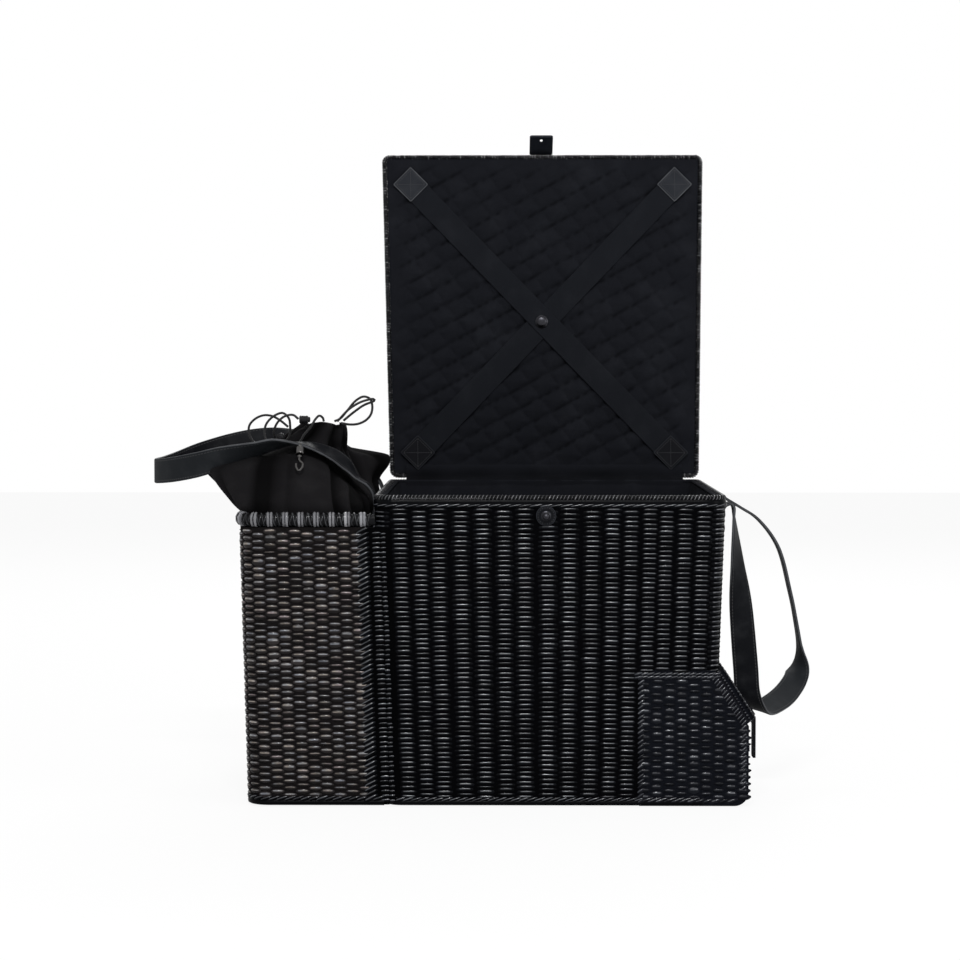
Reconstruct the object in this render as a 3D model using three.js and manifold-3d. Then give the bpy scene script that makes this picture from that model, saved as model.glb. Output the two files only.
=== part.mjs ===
// A black woven picnic basket: an insulated main box with a hinged, quilted lid, a bottle
// basket with a drawstring bag on its left, a small side-opening pocket in its lower right
// front corner, and two leather strap handles. Millimetres, +X right, +Y back, +Z up.
// The origin is the centre of the main box's footprint, on the ground.
import * as THREE from "three";
import { mergeVertices } from "three/addons/utils/BufferGeometryUtils.js";
import Module from "manifold-3d";

const wasm = await Module();
wasm.setup();

// Driving sizes of the main box
const BOX_HEIGHT = 313;
const BOX_RIM_HALF = 176;
const BOX_BASE_HALF = BOX_RIM_HALF - 10;
const BOX_WALL = 7;
const BOX_CORNER = 18;
const BOX_FLOOR = 7;
const FOOT_ROUND = 6;
const RIM_BAND = 10.2;
const RIM_BAND_WIDTH = 7.6;
const RIM_PROUD = 0.6;
const CLEAR = 0.35;

// The half depth that the places along the box are given for, and their share at this depth
const GIVEN_HALF = 176;
const ALONG_SHARE = BOX_RIM_HALF / GIVEN_HALF;

// Insulated liner of the main box
const LINER_WALL = 4;
const LINER_TOP_DROP = 4;
const BINDING_HEIGHT = 3;

// Bottle basket on the left side
const BOTTLE_OUT_TOP = BOX_RIM_HALF + 135;
const BOTTLE_OUT_BASE = BOX_RIM_HALF + 128;
const BOTTLE_HEIGHT = BOX_HEIGHT - 32;
const BOTTLE_WALL = 6;
const BOTTLE_CORNER = 22;
const BOTTLE_RIM = 14;
const BOTTLE_RIM_PROUD = 4;
const BOTTLE_RIM_WIDTH = 11;
const BOTTLE_LINER_WALL = 3;
const BOTTLE_LINER_TO_BOX = 15;

// Drawstring bag. Each section has its height over the bottle basket, how far its far and near
// sides stand out from the main box, where its front and back are along the box, and how square
// it is.
const BAG_WALL = 2.4;
const BAG_SECTIONS = [
  { above: 3.5, far: 127, near: 16, front: -160, back: 160, square: 8 },
  { above: 17, far: 128, near: 16, front: -161, back: 161, square: 8 },
  { above: 25, far: 146, near: 18, front: -161, back: 164, square: 6 },
  { above: 41, far: 170, near: 22, front: -133, back: 155, square: 4 },
  { above: 52, far: 164, near: 28, front: -122, back: 145, square: 3.2 },
  { above: 64, far: 142, near: 36, front: -108, back: 128, square: 2.6 },
  { above: 73, far: 120, near: 40, front: -85, back: 96, square: 2.3 },
  { above: 79, far: 105, near: 38, front: -74, back: 40, square: 2.2 },
  { above: 85, far: 95, near: 37, front: -70, back: 12, square: 2 },
  { above: 101, far: 96, near: 36, front: -71, back: 13, square: 2 },
];

// Pocket basket in the lower right front corner
const POCKET_LEFT = BOX_RIM_HALF - 86;
const POCKET_RIGHT = BOX_RIM_HALF + 23.5;
const POCKET_TOP = 137;
const POCKET_DEPTH = 65;
const POCKET_WALL = 6;
const POCKET_CORNER = 14;
const POCKET_LID_THICK = 9;
const POCKET_LID_SLOPE = 57.3;
const POCKET_LID_OVERHANG = 6.5;
const POCKET_HINGE_X = BOX_RIM_HALF - 3.6;
const POCKET_HINGE_Z = POCKET_TOP + 3.5;
const POCKET_LID_LENGTH =
  (POCKET_RIGHT + POCKET_LID_OVERHANG - POCKET_HINGE_X) /
  Math.cos(THREE.MathUtils.degToRad(POCKET_LID_SLOPE));
const POCKET_TAB_WIDTH = 22;
const POCKET_TAB_HANG = 42;
const POCKET_TAB_ROOT = 20;

// Lid, measured along it from the hinge line, and through it from its inner face
const LID_LENGTH = BOX_RIM_HALF * 2 + 14;
const LID_HINGE_HALF = BOX_RIM_HALF - 1;
const LID_FREE_HALF = BOX_RIM_HALF + 5.5;
const LID_THICK = 13;
const LID_RIM_WIDTH = 5;
const LID_CORNER = 9;
const LID_LEAN = 2;
const LID_START = 0.2;
const LID_HINGE_Z = BOX_HEIGHT + 0.6;
const LID_HINGE_Y = BOX_RIM_HALF + RIM_PROUD + 0.4;
const PANEL_THICK = 5.7;
const LINING_FACE = 2.6;
const LINING_BACK = 6.7;
const QUILT_PITCH = 20;
const QUILT_DEPTH = 2.2;
const QUILT_SLANT_LEFT = 28;
const QUILT_SLANT_RIGHT = 45;
const WEB_WIDTH = 27;
const WEB_THICK = 1.3;
const WEB_FACE = 0.9;
const WEB_GAP = 0.5;
const PATCH_SIDE = 28;
const PATCH_THICK = 1.1;
const PATCH_FREE = { x: LID_FREE_HALF - 32.5, down: 34 };
const PATCH_HINGE = { x: LID_HINGE_HALF - 32, up: 29 };
const SNAP_X = -2;
const SNAP_DOWN = LID_LENGTH / 2 + 6;
const SNAP_RADIUS = 7.2;

// Leather tabs and ball stud
const TAB_X = -4;
const TAB_WIDTH = 26;
const TAB_THICK = 2.4;
const TAB_LENGTH = 42;
const TAB_BEND = 68;
const TAB_ROOT = 40;
const TAB_HOLE_RADIUS = 1.5;
const TAB_HOLE_FROM_TIP = 7;
const TAB_CORNER = 3;
const STUD_Z = BOX_HEIGHT - 20.6;
const STUD_PATCH_RADIUS = 10;
const STUD_PATCH_THICK = 1.5;
const STUD_BALL_RADIUS = 4;
const SNAP_STUD_RADIUS = 4.5;
const SNAP_STUD_PROUD = 3.6;

// Strap handles
const STRAP_WIDTH = 26;
const STRAP_THICK = 3;
const HANDLE_ROOT_ALONG = 90;
const RIVET_RADIUS = 4;
const RIVET_PROUD = 1.6;
const ROOT_GAP = 0.65;
const ROOT_PLATE_LOW = BOX_HEIGHT - 45;
const ROOT_PLATE_RIVETS = [BOX_HEIGHT - 38, BOX_HEIGHT - 24];

// Small metal and cord parts
const CORD_DIAMETER = 2.5;
const CLASP_LENGTH = 36;
const CLASP_BELL_RADIUS = 4.2;
const LOCK_RADIUS = 4.2;
const LOCK_LENGTH = 9;
const LOCK_BUTTON_RADIUS = 2.9;
const LOCK_BUTTON_PROUD = 2.6;

const rad = THREE.MathUtils.degToRad;

const finishes = {
  weave: { color: 0x17181c, roughness: 0.55, metalness: 0 },
  bottleWeave: { color: 0x34312f, roughness: 0.6, metalness: 0 },
  fabric: { color: 0x0d0e12, roughness: 0.9, metalness: 0 },
  webbing: { color: 0x101116, roughness: 0.8, metalness: 0 },
  leather: { color: 0x1b1d21, roughness: 0.5, metalness: 0 },
  metal: { color: 0x8d8a84, roughness: 0.35, metalness: 1 },
  darkMetal: { color: 0x2b2b2e, roughness: 0.35, metalness: 1 },
  plastic: { color: 0x141518, roughness: 0.45, metalness: 0 },
};

const basket = new THREE.Group();

/** Adds one named piece with its finish to a group. */
function piece(name, geometry, finish, group = basket) {
  const mesh = new THREE.Mesh(geometry, new THREE.MeshStandardMaterial(finishes[finish]));
  mesh.name = name;
  group.add(mesh);
  return mesh;
}

/** A closed geometry as a solid for joining and cutting. */
function solid(geometry, matrix = new THREE.Matrix4()) {
  const bare = geometry.index ? geometry.toNonIndexed() : geometry.clone();
  bare.deleteAttribute("normal");
  bare.deleteAttribute("uv");
  bare.applyMatrix4(matrix);
  const merged = mergeVertices(bare, 1e-4);
  const vertProperties = new Float32Array(merged.attributes.position.array);
  const triVerts = new Uint32Array(merged.index.array);
  return new wasm.Manifold(new wasm.Mesh({ numProp: 3, vertProperties, triVerts }));
}

/** The geometry of a solid. */
function geometryOf(body) {
  const mesh = body.getMesh();
  const geometry = new THREE.BufferGeometry();
  geometry.setAttribute("position", new THREE.BufferAttribute(new Float32Array(mesh.vertProperties), 3));
  geometry.setIndex(new THREE.BufferAttribute(new Uint32Array(mesh.triVerts), 1));
  geometry.computeVertexNormals();
  return geometry;
}

/** A closed skin over rings of points that each have the same count, with flat ends. */
function loft(rings) {
  const count = rings[0].length;
  const positions = [];
  const index = [];
  rings.forEach((ring) => ring.forEach((point) => positions.push(point.x, point.y, point.z)));
  for (let level = 0; level < rings.length - 1; level += 1) {
    for (let step = 0; step < count; step += 1) {
      const next = (step + 1) % count;
      const low = level * count;
      const high = low + count;
      index.push(low + step, low + next, high + next, low + step, high + next, high + step);
    }
  }
  const contour = rings[0].map((point) => new THREE.Vector2(point.x, point.y));
  const last = (rings.length - 1) * count;
  for (const [a, b, c] of THREE.ShapeUtils.triangulateShape(contour, [])) {
    index.push(a, c, b);
    index.push(last + a, last + b, last + c);
  }
  const geometry = new THREE.BufferGeometry();
  geometry.setAttribute("position", new THREE.Float32BufferAttribute(positions, 3));
  geometry.setIndex(index);
  return geometry;
}

/** One level ring of a rectangle with round corners. */
function roundRing(z, left, right, front, back, corner, steps = 4) {
  const ring = [];
  const corners = [
    [right - corner, back - corner, 0],
    [left + corner, back - corner, 90],
    [left + corner, front + corner, 180],
    [right - corner, front + corner, 270],
  ];
  for (const [x, y, start] of corners) {
    for (let step = 0; step <= steps; step += 1) {
      const angle = rad(start + (90 * step) / steps);
      ring.push(new THREE.Vector3(x + corner * Math.cos(angle), y + corner * Math.sin(angle), z));
    }
  }
  return ring;
}

/** Half the width of the main box at a level. */
function boxHalf(z) {
  return THREE.MathUtils.lerp(BOX_BASE_HALF, BOX_RIM_HALF, z / BOX_HEIGHT);
}

/** The main box's outline moved in or out by an offset, between two levels. */
function boxBody(low, high, offset = 0, footRound = 0) {
  const levels = footRound > 0 ? [low, low + footRound * 0.3, low + footRound, high] : [low, high];
  const insets = footRound > 0 ? [footRound, footRound * 0.3, 0, 0] : [0, 0];
  const rings = levels.map((z, at) => {
    const half = boxHalf(z) + offset - insets[at];
    return roundRing(z, -half, half, -half, half, BOX_CORNER + offset - insets[at]);
  });
  return solid(loft(rings));
}

/** A plain block between two corners. */
function block(left, right, front, back, low, high) {
  const box = new THREE.BoxGeometry(right - left, back - front, high - low);
  const middle = new THREE.Matrix4().makeTranslation(
    (left + right) / 2,
    (front + back) / 2,
    (low + high) / 2,
  );
  return solid(box, middle);
}

/** A disc or dome turned round the local Z axis from its profile of [radius, height] points. */
function turned(profile, segments = 20) {
  const points = profile.map(([radius, height]) => new THREE.Vector2(radius, height));
  const lathe = new THREE.LatheGeometry(points, segments);
  lathe.rotateX(Math.PI / 2);
  return lathe;
}

/** A flat outline given thickness along local Z. */
function plate(shape, thick, curveSegments = 6) {
  return new THREE.ExtrudeGeometry(shape, { depth: thick, bevelEnabled: false, curveSegments });
}

/** A rectangle with round corners as a flat outline. */
function roundShape(left, right, low, high, corner) {
  const shape = new THREE.Shape();
  shape.moveTo(left + corner, low);
  shape.lineTo(right - corner, low);
  shape.absarc(right - corner, low + corner, corner, rad(-90), 0);
  shape.lineTo(right, high - corner);
  shape.absarc(right - corner, high - corner, corner, 0, rad(90));
  shape.lineTo(left + corner, high);
  shape.absarc(left + corner, high - corner, corner, rad(90), rad(180));
  shape.lineTo(left, low + corner);
  shape.absarc(left + corner, low + corner, corner, rad(180), rad(270));
  return shape;
}

/** The step that the pocket takes out of the main box, grown by an amount on its inner sides. */
function pocketStep(grow) {
  const backOfPocket = POCKET_DEPTH - boxHalf(0);
  return block(
    POCKET_LEFT - grow,
    BOX_RIM_HALF + BOX_WALL,
    -BOX_RIM_HALF - BOX_WALL,
    backOfPocket + grow,
    -BOX_WALL,
    POCKET_TOP + grow,
  );
}

/** Main box: woven shell, wrapped rim, liner and its binding. */
function mainBox() {
  const top = BOX_HEIGHT - RIM_BAND - CLEAR;
  const outside = boxBody(0, top, 0, FOOT_ROUND);
  const room = boxBody(BOX_FLOOR, BOX_HEIGHT + 1, -BOX_WALL).subtract(pocketStep(BOX_WALL));
  const shell = outside.subtract(room).subtract(pocketStep(CLEAR));
  piece("main_basket", geometryOf(shell), "weave");

  const low = BOX_HEIGHT - RIM_BAND;
  const rim = boxBody(low, BOX_HEIGHT, RIM_PROUD);
  const rimHole = boxBody(low - 1, BOX_HEIGHT + 1, RIM_PROUD - RIM_BAND_WIDTH);
  piece("main_rim", geometryOf(rim.subtract(rimHole)), "weave");

  const linerTop = BOX_HEIGHT - LINER_TOP_DROP;
  const outer = -BOX_WALL - CLEAR;
  const inner = outer - LINER_WALL;
  const linerFloor = BOX_FLOOR + CLEAR;
  const linerOut = boxBody(linerFloor, linerTop, outer).subtract(pocketStep(BOX_WALL + CLEAR));
  const linerIn = boxBody(linerFloor + LINER_WALL, linerTop + 1, inner).subtract(
    pocketStep(BOX_WALL + CLEAR + LINER_WALL),
  );
  piece("main_liner", geometryOf(linerOut.subtract(linerIn)), "fabric");

  const bindingLow = linerTop + CLEAR;
  const bindingHigh = bindingLow + BINDING_HEIGHT;
  const binding = boxBody(bindingLow, bindingHigh, outer).subtract(
    boxBody(bindingLow - 1, bindingHigh + 1, inner - 1),
  );
  piece("liner_binding", geometryOf(binding), "fabric");
}

/** The bottle basket's outline between two levels, moved in or out by an offset. */
function bottleBody(low, high, offset = 0, footRound = 0) {
  const levels = footRound > 0 ? [low, low + footRound * 0.3, low + footRound, high] : [low, high];
  const insets = footRound > 0 ? [footRound, footRound * 0.3, 0, 0] : [0, 0];
  const rings = levels.map((z, at) => {
    const left = -THREE.MathUtils.lerp(BOTTLE_OUT_BASE, BOTTLE_OUT_TOP, z / BOTTLE_HEIGHT);
    const half = boxHalf(z) + offset - insets[at];
    const right = -boxHalf(z) + BOTTLE_CORNER * 2;
    return roundRing(z, left - offset + insets[at], right, -half, half, BOTTLE_CORNER);
  });
  return solid(loft(rings));
}

/** Bottle basket: three woven walls and a floor against the main box, its rim and its liner. */
function bottleBasket() {
  const mainBody = boxBody(-BOX_WALL, BOX_HEIGHT, CLEAR);
  const outside = bottleBody(0, BOTTLE_HEIGHT - CLEAR, 0, FOOT_ROUND);
  const room = bottleBody(BOTTLE_WALL, BOTTLE_HEIGHT + 1, -BOTTLE_WALL);
  piece("bottle_basket", geometryOf(outside.subtract(room).subtract(mainBody)), "bottleWeave");

  const rimTop = BOTTLE_HEIGHT + BOTTLE_RIM;
  const rim = bottleBody(BOTTLE_HEIGHT, rimTop, BOTTLE_RIM_PROUD);
  const rimHole = bottleBody(BOTTLE_HEIGHT - 1, rimTop + 1, BOTTLE_RIM_PROUD - BOTTLE_RIM_WIDTH);
  piece("bottle_rim", geometryOf(rim.subtract(rimHole).subtract(mainBody)), "bottleWeave");

  const linerTop = BAG_SECTIONS[0].above + BOTTLE_HEIGHT - CLEAR;
  const floor = BOTTLE_WALL + CLEAR;
  const outer = -BOTTLE_WALL - CLEAR - 1;
  const keepOff = boxBody(-BOX_WALL, BOX_HEIGHT, BOTTLE_LINER_TO_BOX);
  const keepOffInside = boxBody(-BOX_WALL, BOX_HEIGHT, BOTTLE_LINER_TO_BOX + BOTTLE_LINER_WALL);
  const linerOut = bottleBody(floor, linerTop, outer).subtract(keepOff);
  const linerIn = bottleBody(
    floor + BOTTLE_LINER_WALL,
    linerTop + 1,
    outer - BOTTLE_LINER_WALL,
  ).subtract(keepOffInside);
  piece("bottle_liner", geometryOf(linerOut.subtract(linerIn)), "fabric");
}

/** One level ring of the bag, moved in by an inset. */
function bagRing(section, inset, z, steps = 36) {
  const middleX = -BOX_RIM_HALF - (section.far + section.near) / 2;
  const middleY = (ALONG_SHARE * (section.front + section.back)) / 2;
  const halfX = (section.far - section.near) / 2 - inset;
  const halfY = (ALONG_SHARE * (section.back - section.front)) / 2 - inset;
  const power = 2 / section.square;
  const ring = [];
  for (let step = 0; step < steps; step += 1) {
    const angle = (2 * Math.PI * step) / steps;
    const across = Math.cos(angle);
    const along = Math.sin(angle);
    ring.push(
      new THREE.Vector3(
        middleX + halfX * Math.sign(across) * Math.abs(across) ** power,
        middleY + halfY * Math.sign(along) * Math.abs(along) ** power,
        z,
      ),
    );
  }
  return ring;
}

/** Drawstring bag: a cloth skin from the bottle liner's edge to its open neck. */
function drawstringBag() {
  const outside = BAG_SECTIONS.map((section) => bagRing(section, 0, BOTTLE_HEIGHT + section.above));
  const last = BAG_SECTIONS.length - 1;
  const inside = BAG_SECTIONS.map((section, at) => {
    const past = at === 0 ? -1 : at === last ? 1 : 0;
    return bagRing(section, BAG_WALL, BOTTLE_HEIGHT + section.above + past);
  });
  piece("drawstring_bag", geometryOf(solid(loft(outside)).subtract(solid(loft(inside)))), "fabric");
}

/** A leather strap along a smooth line, with its width turned to face a direction at each point. */
function strap(side, route, steps) {
  const line = new THREE.CatmullRomCurve3(route.map((stop) => outFrom(side, BOX_HEIGHT, stop.at)));
  const facing = new THREE.CatmullRomCurve3(route.map((stop) => new THREE.Vector3(...stop.across)));
  const half = STRAP_WIDTH / 2;
  const thin = STRAP_THICK / 2;
  const edge = STRAP_THICK * 0.3;
  const outline = [
    [half, -thin + edge],
    [half, thin - edge],
    [half - edge, thin],
    [-half + edge, thin],
    [-half, thin - edge],
    [-half, -thin + edge],
    [-half + edge, -thin],
    [half - edge, -thin],
  ];
  const rings = [];
  for (let step = 0; step <= steps; step += 1) {
    const centre = line.getPoint(step / steps);
    const tangent = line.getTangent(step / steps);
    const across = facing.getPoint(step / steps);
    across.addScaledVector(tangent, -across.dot(tangent)).normalize();
    const through = new THREE.Vector3().crossVectors(across, tangent);
    rings.push(
      outline.map(([a, t]) => centre.clone().addScaledVector(across, a).addScaledVector(through, t)),
    );
  }
  return tube(rings);
}

/** A place given as out from a side of the main box, along it, and up from a level. */
function outFrom(side, level, [out, along, up]) {
  return new THREE.Vector3(side * (BOX_RIM_HALF + out), along * ALONG_SHARE, level + up);
}

/** A closed skin over rings that face along their line, with a fan over each end. */
function tube(rings) {
  const count = rings[0].length;
  const positions = [];
  const index = [];
  rings.forEach((ring) => ring.forEach((point) => positions.push(point.x, point.y, point.z)));
  for (let level = 0; level < rings.length - 1; level += 1) {
    for (let step = 0; step < count; step += 1) {
      const next = (step + 1) % count;
      const low = level * count;
      const high = low + count;
      index.push(low + step, high + next, low + next, low + step, high + step, high + next);
    }
  }
  const last = (rings.length - 1) * count;
  for (let step = 1; step < count - 1; step += 1) {
    index.push(0, step, step + 1);
    index.push(last, last + step + 1, last + step);
  }
  const geometry = new THREE.BufferGeometry();
  geometry.setAttribute("position", new THREE.Float32BufferAttribute(positions, 3));
  geometry.setIndex(index);
  geometry.computeVertexNormals();
  return geometry;
}

// Routes of the loops: the strap's middle, out from the box's side, along it and up from its rim,
// and the way that the strap's width faces
const RIGHT_LOOP = [
  { at: [12.5, -90, -11], across: [0, 1, 0] },
  { at: [14.5, -90, -28], across: [0.1, 1, 0] },
  { at: [18, -91, -73], across: [0.55, 0.85, 0] },
  { at: [22.5, -92, -127], across: [1, 0.3, 0] },
  { at: [27, -92, -181], across: [1, 0.05, 0] },
  { at: [32, -88, -213], across: [1, -0.1, -0.15] },
  { at: [46, -66, -227], across: [0.78, -0.2, -0.6] },
  { at: [67, -20, -226], across: [0.72, -0.2, -0.66] },
  { at: [86, 32, -220], across: [0.7, -0.3, -0.66] },
  { at: [99, 72, -207], across: [0.45, -0.75, -0.5] },
  { at: [103, 89, -183], across: [0.1, -1, -0.1] },
  { at: [98, 90, -148], across: [0, -1, 0] },
  { at: [92, 90, -119], across: [0, -1, 0] },
  { at: [78, 90, -69], across: [0, -1, 0] },
  { at: [56, 90, -39.5], across: [0, -1, 0] },
  { at: [38, 90, -27.5], across: [0, -1, 0] },
  { at: [23, 90, -18.5], across: [0, -1, 0] },
];
const LEFT_LOOP = [
  { at: [23, -90, 15.5], across: [0, -1, -0.3] },
  { at: [31, -90, 26], across: [0, -0.88, -0.47] },
  { at: [44, -90, 36.5], across: [0, -0.9, -0.43] },
  { at: [67, -91, 46], across: [0, -0.97, -0.2] },
  { at: [88, -92, 49], across: [0, -1, 0.1] },
  { at: [107, -92, 47.5], across: [0, -0.9, 0.45] },
  { at: [125, -93, 43.5], across: [0, -0.7, 0.7] },
  { at: [144, -94, 38.5], across: [0, -0.4, 0.9] },
  { at: [163, -93, 34], across: [0, -0.15, 1] },
  { at: [186, -88, 27], across: [0, -0.05, 1] },
  { at: [212, -68, 21], across: [0, 0, 1] },
  { at: [232, -36, 18], across: [0, 0, 1] },
  { at: [240, 0, 17], across: [0, 0, 1] },
  { at: [236, 36, 18], across: [0, 0, 1] },
  { at: [222, 66, 22], across: [0, 0.05, 1] },
  { at: [200, 84, 29], across: [0, 0.1, 1] },
  { at: [172, 91, 36], across: [0, 0.2, 1] },
  { at: [149, 92, 41], across: [0, 0.45, 0.9] },
  { at: [125, 92, 45], across: [0, 0.75, 0.65] },
  { at: [99, 92, 48], across: [0, 0.95, 0.25] },
  { at: [67, 91, 46], across: [0, 0.97, -0.2] },
  { at: [44, 90, 36.5], across: [0, 0.9, -0.43] },
  { at: [31, 90, 26], across: [0, 0.88, -0.47] },
  { at: [23, 90, 15.5], across: [0, 1, -0.3] },
];
const RIGHT_TIPS = { front: [10.2, -12.6], back: [20, -16.2] };
const LEFT_TIPS = { front: [20.5, 12.5], back: [20.5, 12.5] };
const LOOP_STEPS = 56;
const ROOT_STEPS = 8;

// The clasp's place under the left loop's front edge, and its slant down the bag's front
const CLASP_AT = [78, -105.9, 49.2];
const CLASP_LIE = -39;

// The locks' places at the bag's neck
const UPPER_LOCK = { at: [77, -72.2, 104.7], turn: [0, 90, 0] };
const LOWER_LOCK = { at: [101, -69, 86.5], turn: [90, 0, 0] };

// Routes of the drawstring, out from the box's side, along it and up from the bottle basket's
// edge: two loops to the left, one behind them, a small front loop and a bow
const CORD_LEFT = [
  [82.6, -72.2, 105.4],
  [88.3, -71, 109.5],
  [98, -70, 107.5],
  [105.5, -69, 100],
  [108.5, -66, 90.5],
  [105.5, -61.5, 83],
  [98, -59.5, 81.5],
  [92.7, -60, 88],
  [92, -61.5, 97],
  [93.5, -61.5, 106],
  [99.7, -62, 111.3],
  [109, -63, 108],
  [116.5, -64, 100],
  [118.4, -65, 90.5],
  [115.5, -67, 82],
  [110, -68.8, 79.3],
  [104.2, -69, 83.1],
];
const CORD_OUTER = [
  [95.6, -44, 96.5],
  [103, -43, 102.5],
  [112, -41, 107.5],
  [121, -40, 108.5],
  [130, -39.5, 105],
  [136.5, -39, 98],
  [137, -39.5, 89.5],
  [133, -40.5, 81.5],
  [125, -41.5, 76.5],
];
const CORD_FRONT = [
  [81, -72.8, 81.2],
  [76.5, -73.3, 89],
  [69.5, -73.4, 97.5],
  [65, -72.4, 105],
  [61, -70.9, 108.7],
  [57.5, -69.8, 106.5],
  [56.5, -69.2, 102.8],
];
const CORD_BOW = [
  [46, -60.5, 102.7],
  [40, -61, 105.5],
  [31.5, -60.5, 113],
  [23, -60, 120.5],
  [14.5, -60, 124.8],
  [8.6, -60.5, 123.2],
  [6.6, -61.5, 117],
  [8, -63, 110],
  [13, -64, 104],
  [21, -65, 100.2],
  [30, -65.5, 99.5],
  [39, -66, 101],
];

/** The stiff end of a strap: flat on the box's side, then leaning out to where the loop bends. */
function strapEnd(side, y, tip) {
  const out = (z) => boxHalf(z) - BOX_RIM_HALF + ROOT_GAP + STRAP_THICK / 2;
  const low = ROOT_PLATE_LOW - BOX_HEIGHT;
  const across = [0, 1, 0];
  const route = [
    { at: [out(ROOT_PLATE_LOW), y, low], across },
    { at: [out(ROOT_PLATE_LOW + 15), y, low + 15], across },
    { at: [out(BOX_HEIGHT - 15) + RIM_PROUD, y, -15], across },
    { at: [(out(BOX_HEIGHT - 11) + tip[0]) / 2 + 1, y, tip[1] / 2 - 7], across },
    { at: [tip[0], y, tip[1]], across },
  ];
  return strap(side, route, ROOT_STEPS);
}

/** Two rivets with domed heads on one strap end. */
function rivets(side, along, name) {
  const head = turned([
    [0, 0],
    [RIVET_RADIUS, 0],
    [RIVET_RADIUS * 0.92, RIVET_PROUD * 0.55],
    [RIVET_RADIUS * 0.55, RIVET_PROUD * 0.92],
    [0, RIVET_PROUD],
  ], 14);
  ROOT_PLATE_RIVETS.forEach((z, at) => {
    const rivet = piece(`${name}_${at + 1}`, head.clone(), "darkMetal");
    rivet.position.set(side * (boxHalf(z) + ROOT_GAP + STRAP_THICK + CLEAR), along * ALONG_SHARE, z);
    rivet.rotation.y = (side * Math.PI) / 2;
  });
}

/** Both handles: fixed ends, rivets and loops. */
function handles() {
  for (const [name, side, tips] of [
    ["right_handle", 1, RIGHT_TIPS],
    ["left_handle", -1, LEFT_TIPS],
  ]) {
    piece(`${name}_end_front`, strapEnd(side, -HANDLE_ROOT_ALONG, tips.front), "leather");
    piece(`${name}_end_back`, strapEnd(side, HANDLE_ROOT_ALONG, tips.back), "leather");
    rivets(side, -HANDLE_ROOT_ALONG, `${name}_rivet_front`);
    rivets(side, HANDLE_ROOT_ALONG, `${name}_rivet_back`);
  }
  piece("right_handle_loop", strap(1, RIGHT_LOOP, LOOP_STEPS), "leather");
  piece("left_handle_loop", strap(-1, LEFT_LOOP, LOOP_STEPS), "leather");
}

/** Half the lid's width at a distance from its hinge line. */
function lidHalf(along) {
  return THREE.MathUtils.lerp(LID_HINGE_HALF, LID_FREE_HALF, along / LID_LENGTH);
}

/** The lid's outline moved in by an inset, as a solid between two depths through the lid. */
function lidBody(inset, near, far) {
  const low = inset + LID_START;
  const high = LID_LENGTH - inset;
  const corner = Math.max(LID_CORNER - inset, 2);
  const shape = new THREE.Shape();
  const lowHalf = lidHalf(low) - inset;
  const highHalf = lidHalf(high) - inset;
  shape.moveTo(-lowHalf + corner, low);
  shape.lineTo(lowHalf - corner, low);
  shape.absarc(lowHalf - corner, low + corner, corner, rad(-90), 0);
  shape.lineTo(highHalf, high - corner);
  shape.absarc(highHalf - corner, high - corner, corner, 0, rad(90));
  shape.lineTo(-highHalf + corner, high);
  shape.absarc(-highHalf + corner, high - corner, corner, rad(90), rad(180));
  shape.lineTo(-lowHalf, low + corner);
  shape.absarc(-lowHalf + corner, low + corner, corner, rad(180), rad(270));
  const stand = new THREE.Matrix4().makeTranslation(0, far, 0);
  stand.multiply(new THREE.Matrix4().makeRotationX(Math.PI / 2));
  return solid(plate(shape, far - near, 4), stand);
}

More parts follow.
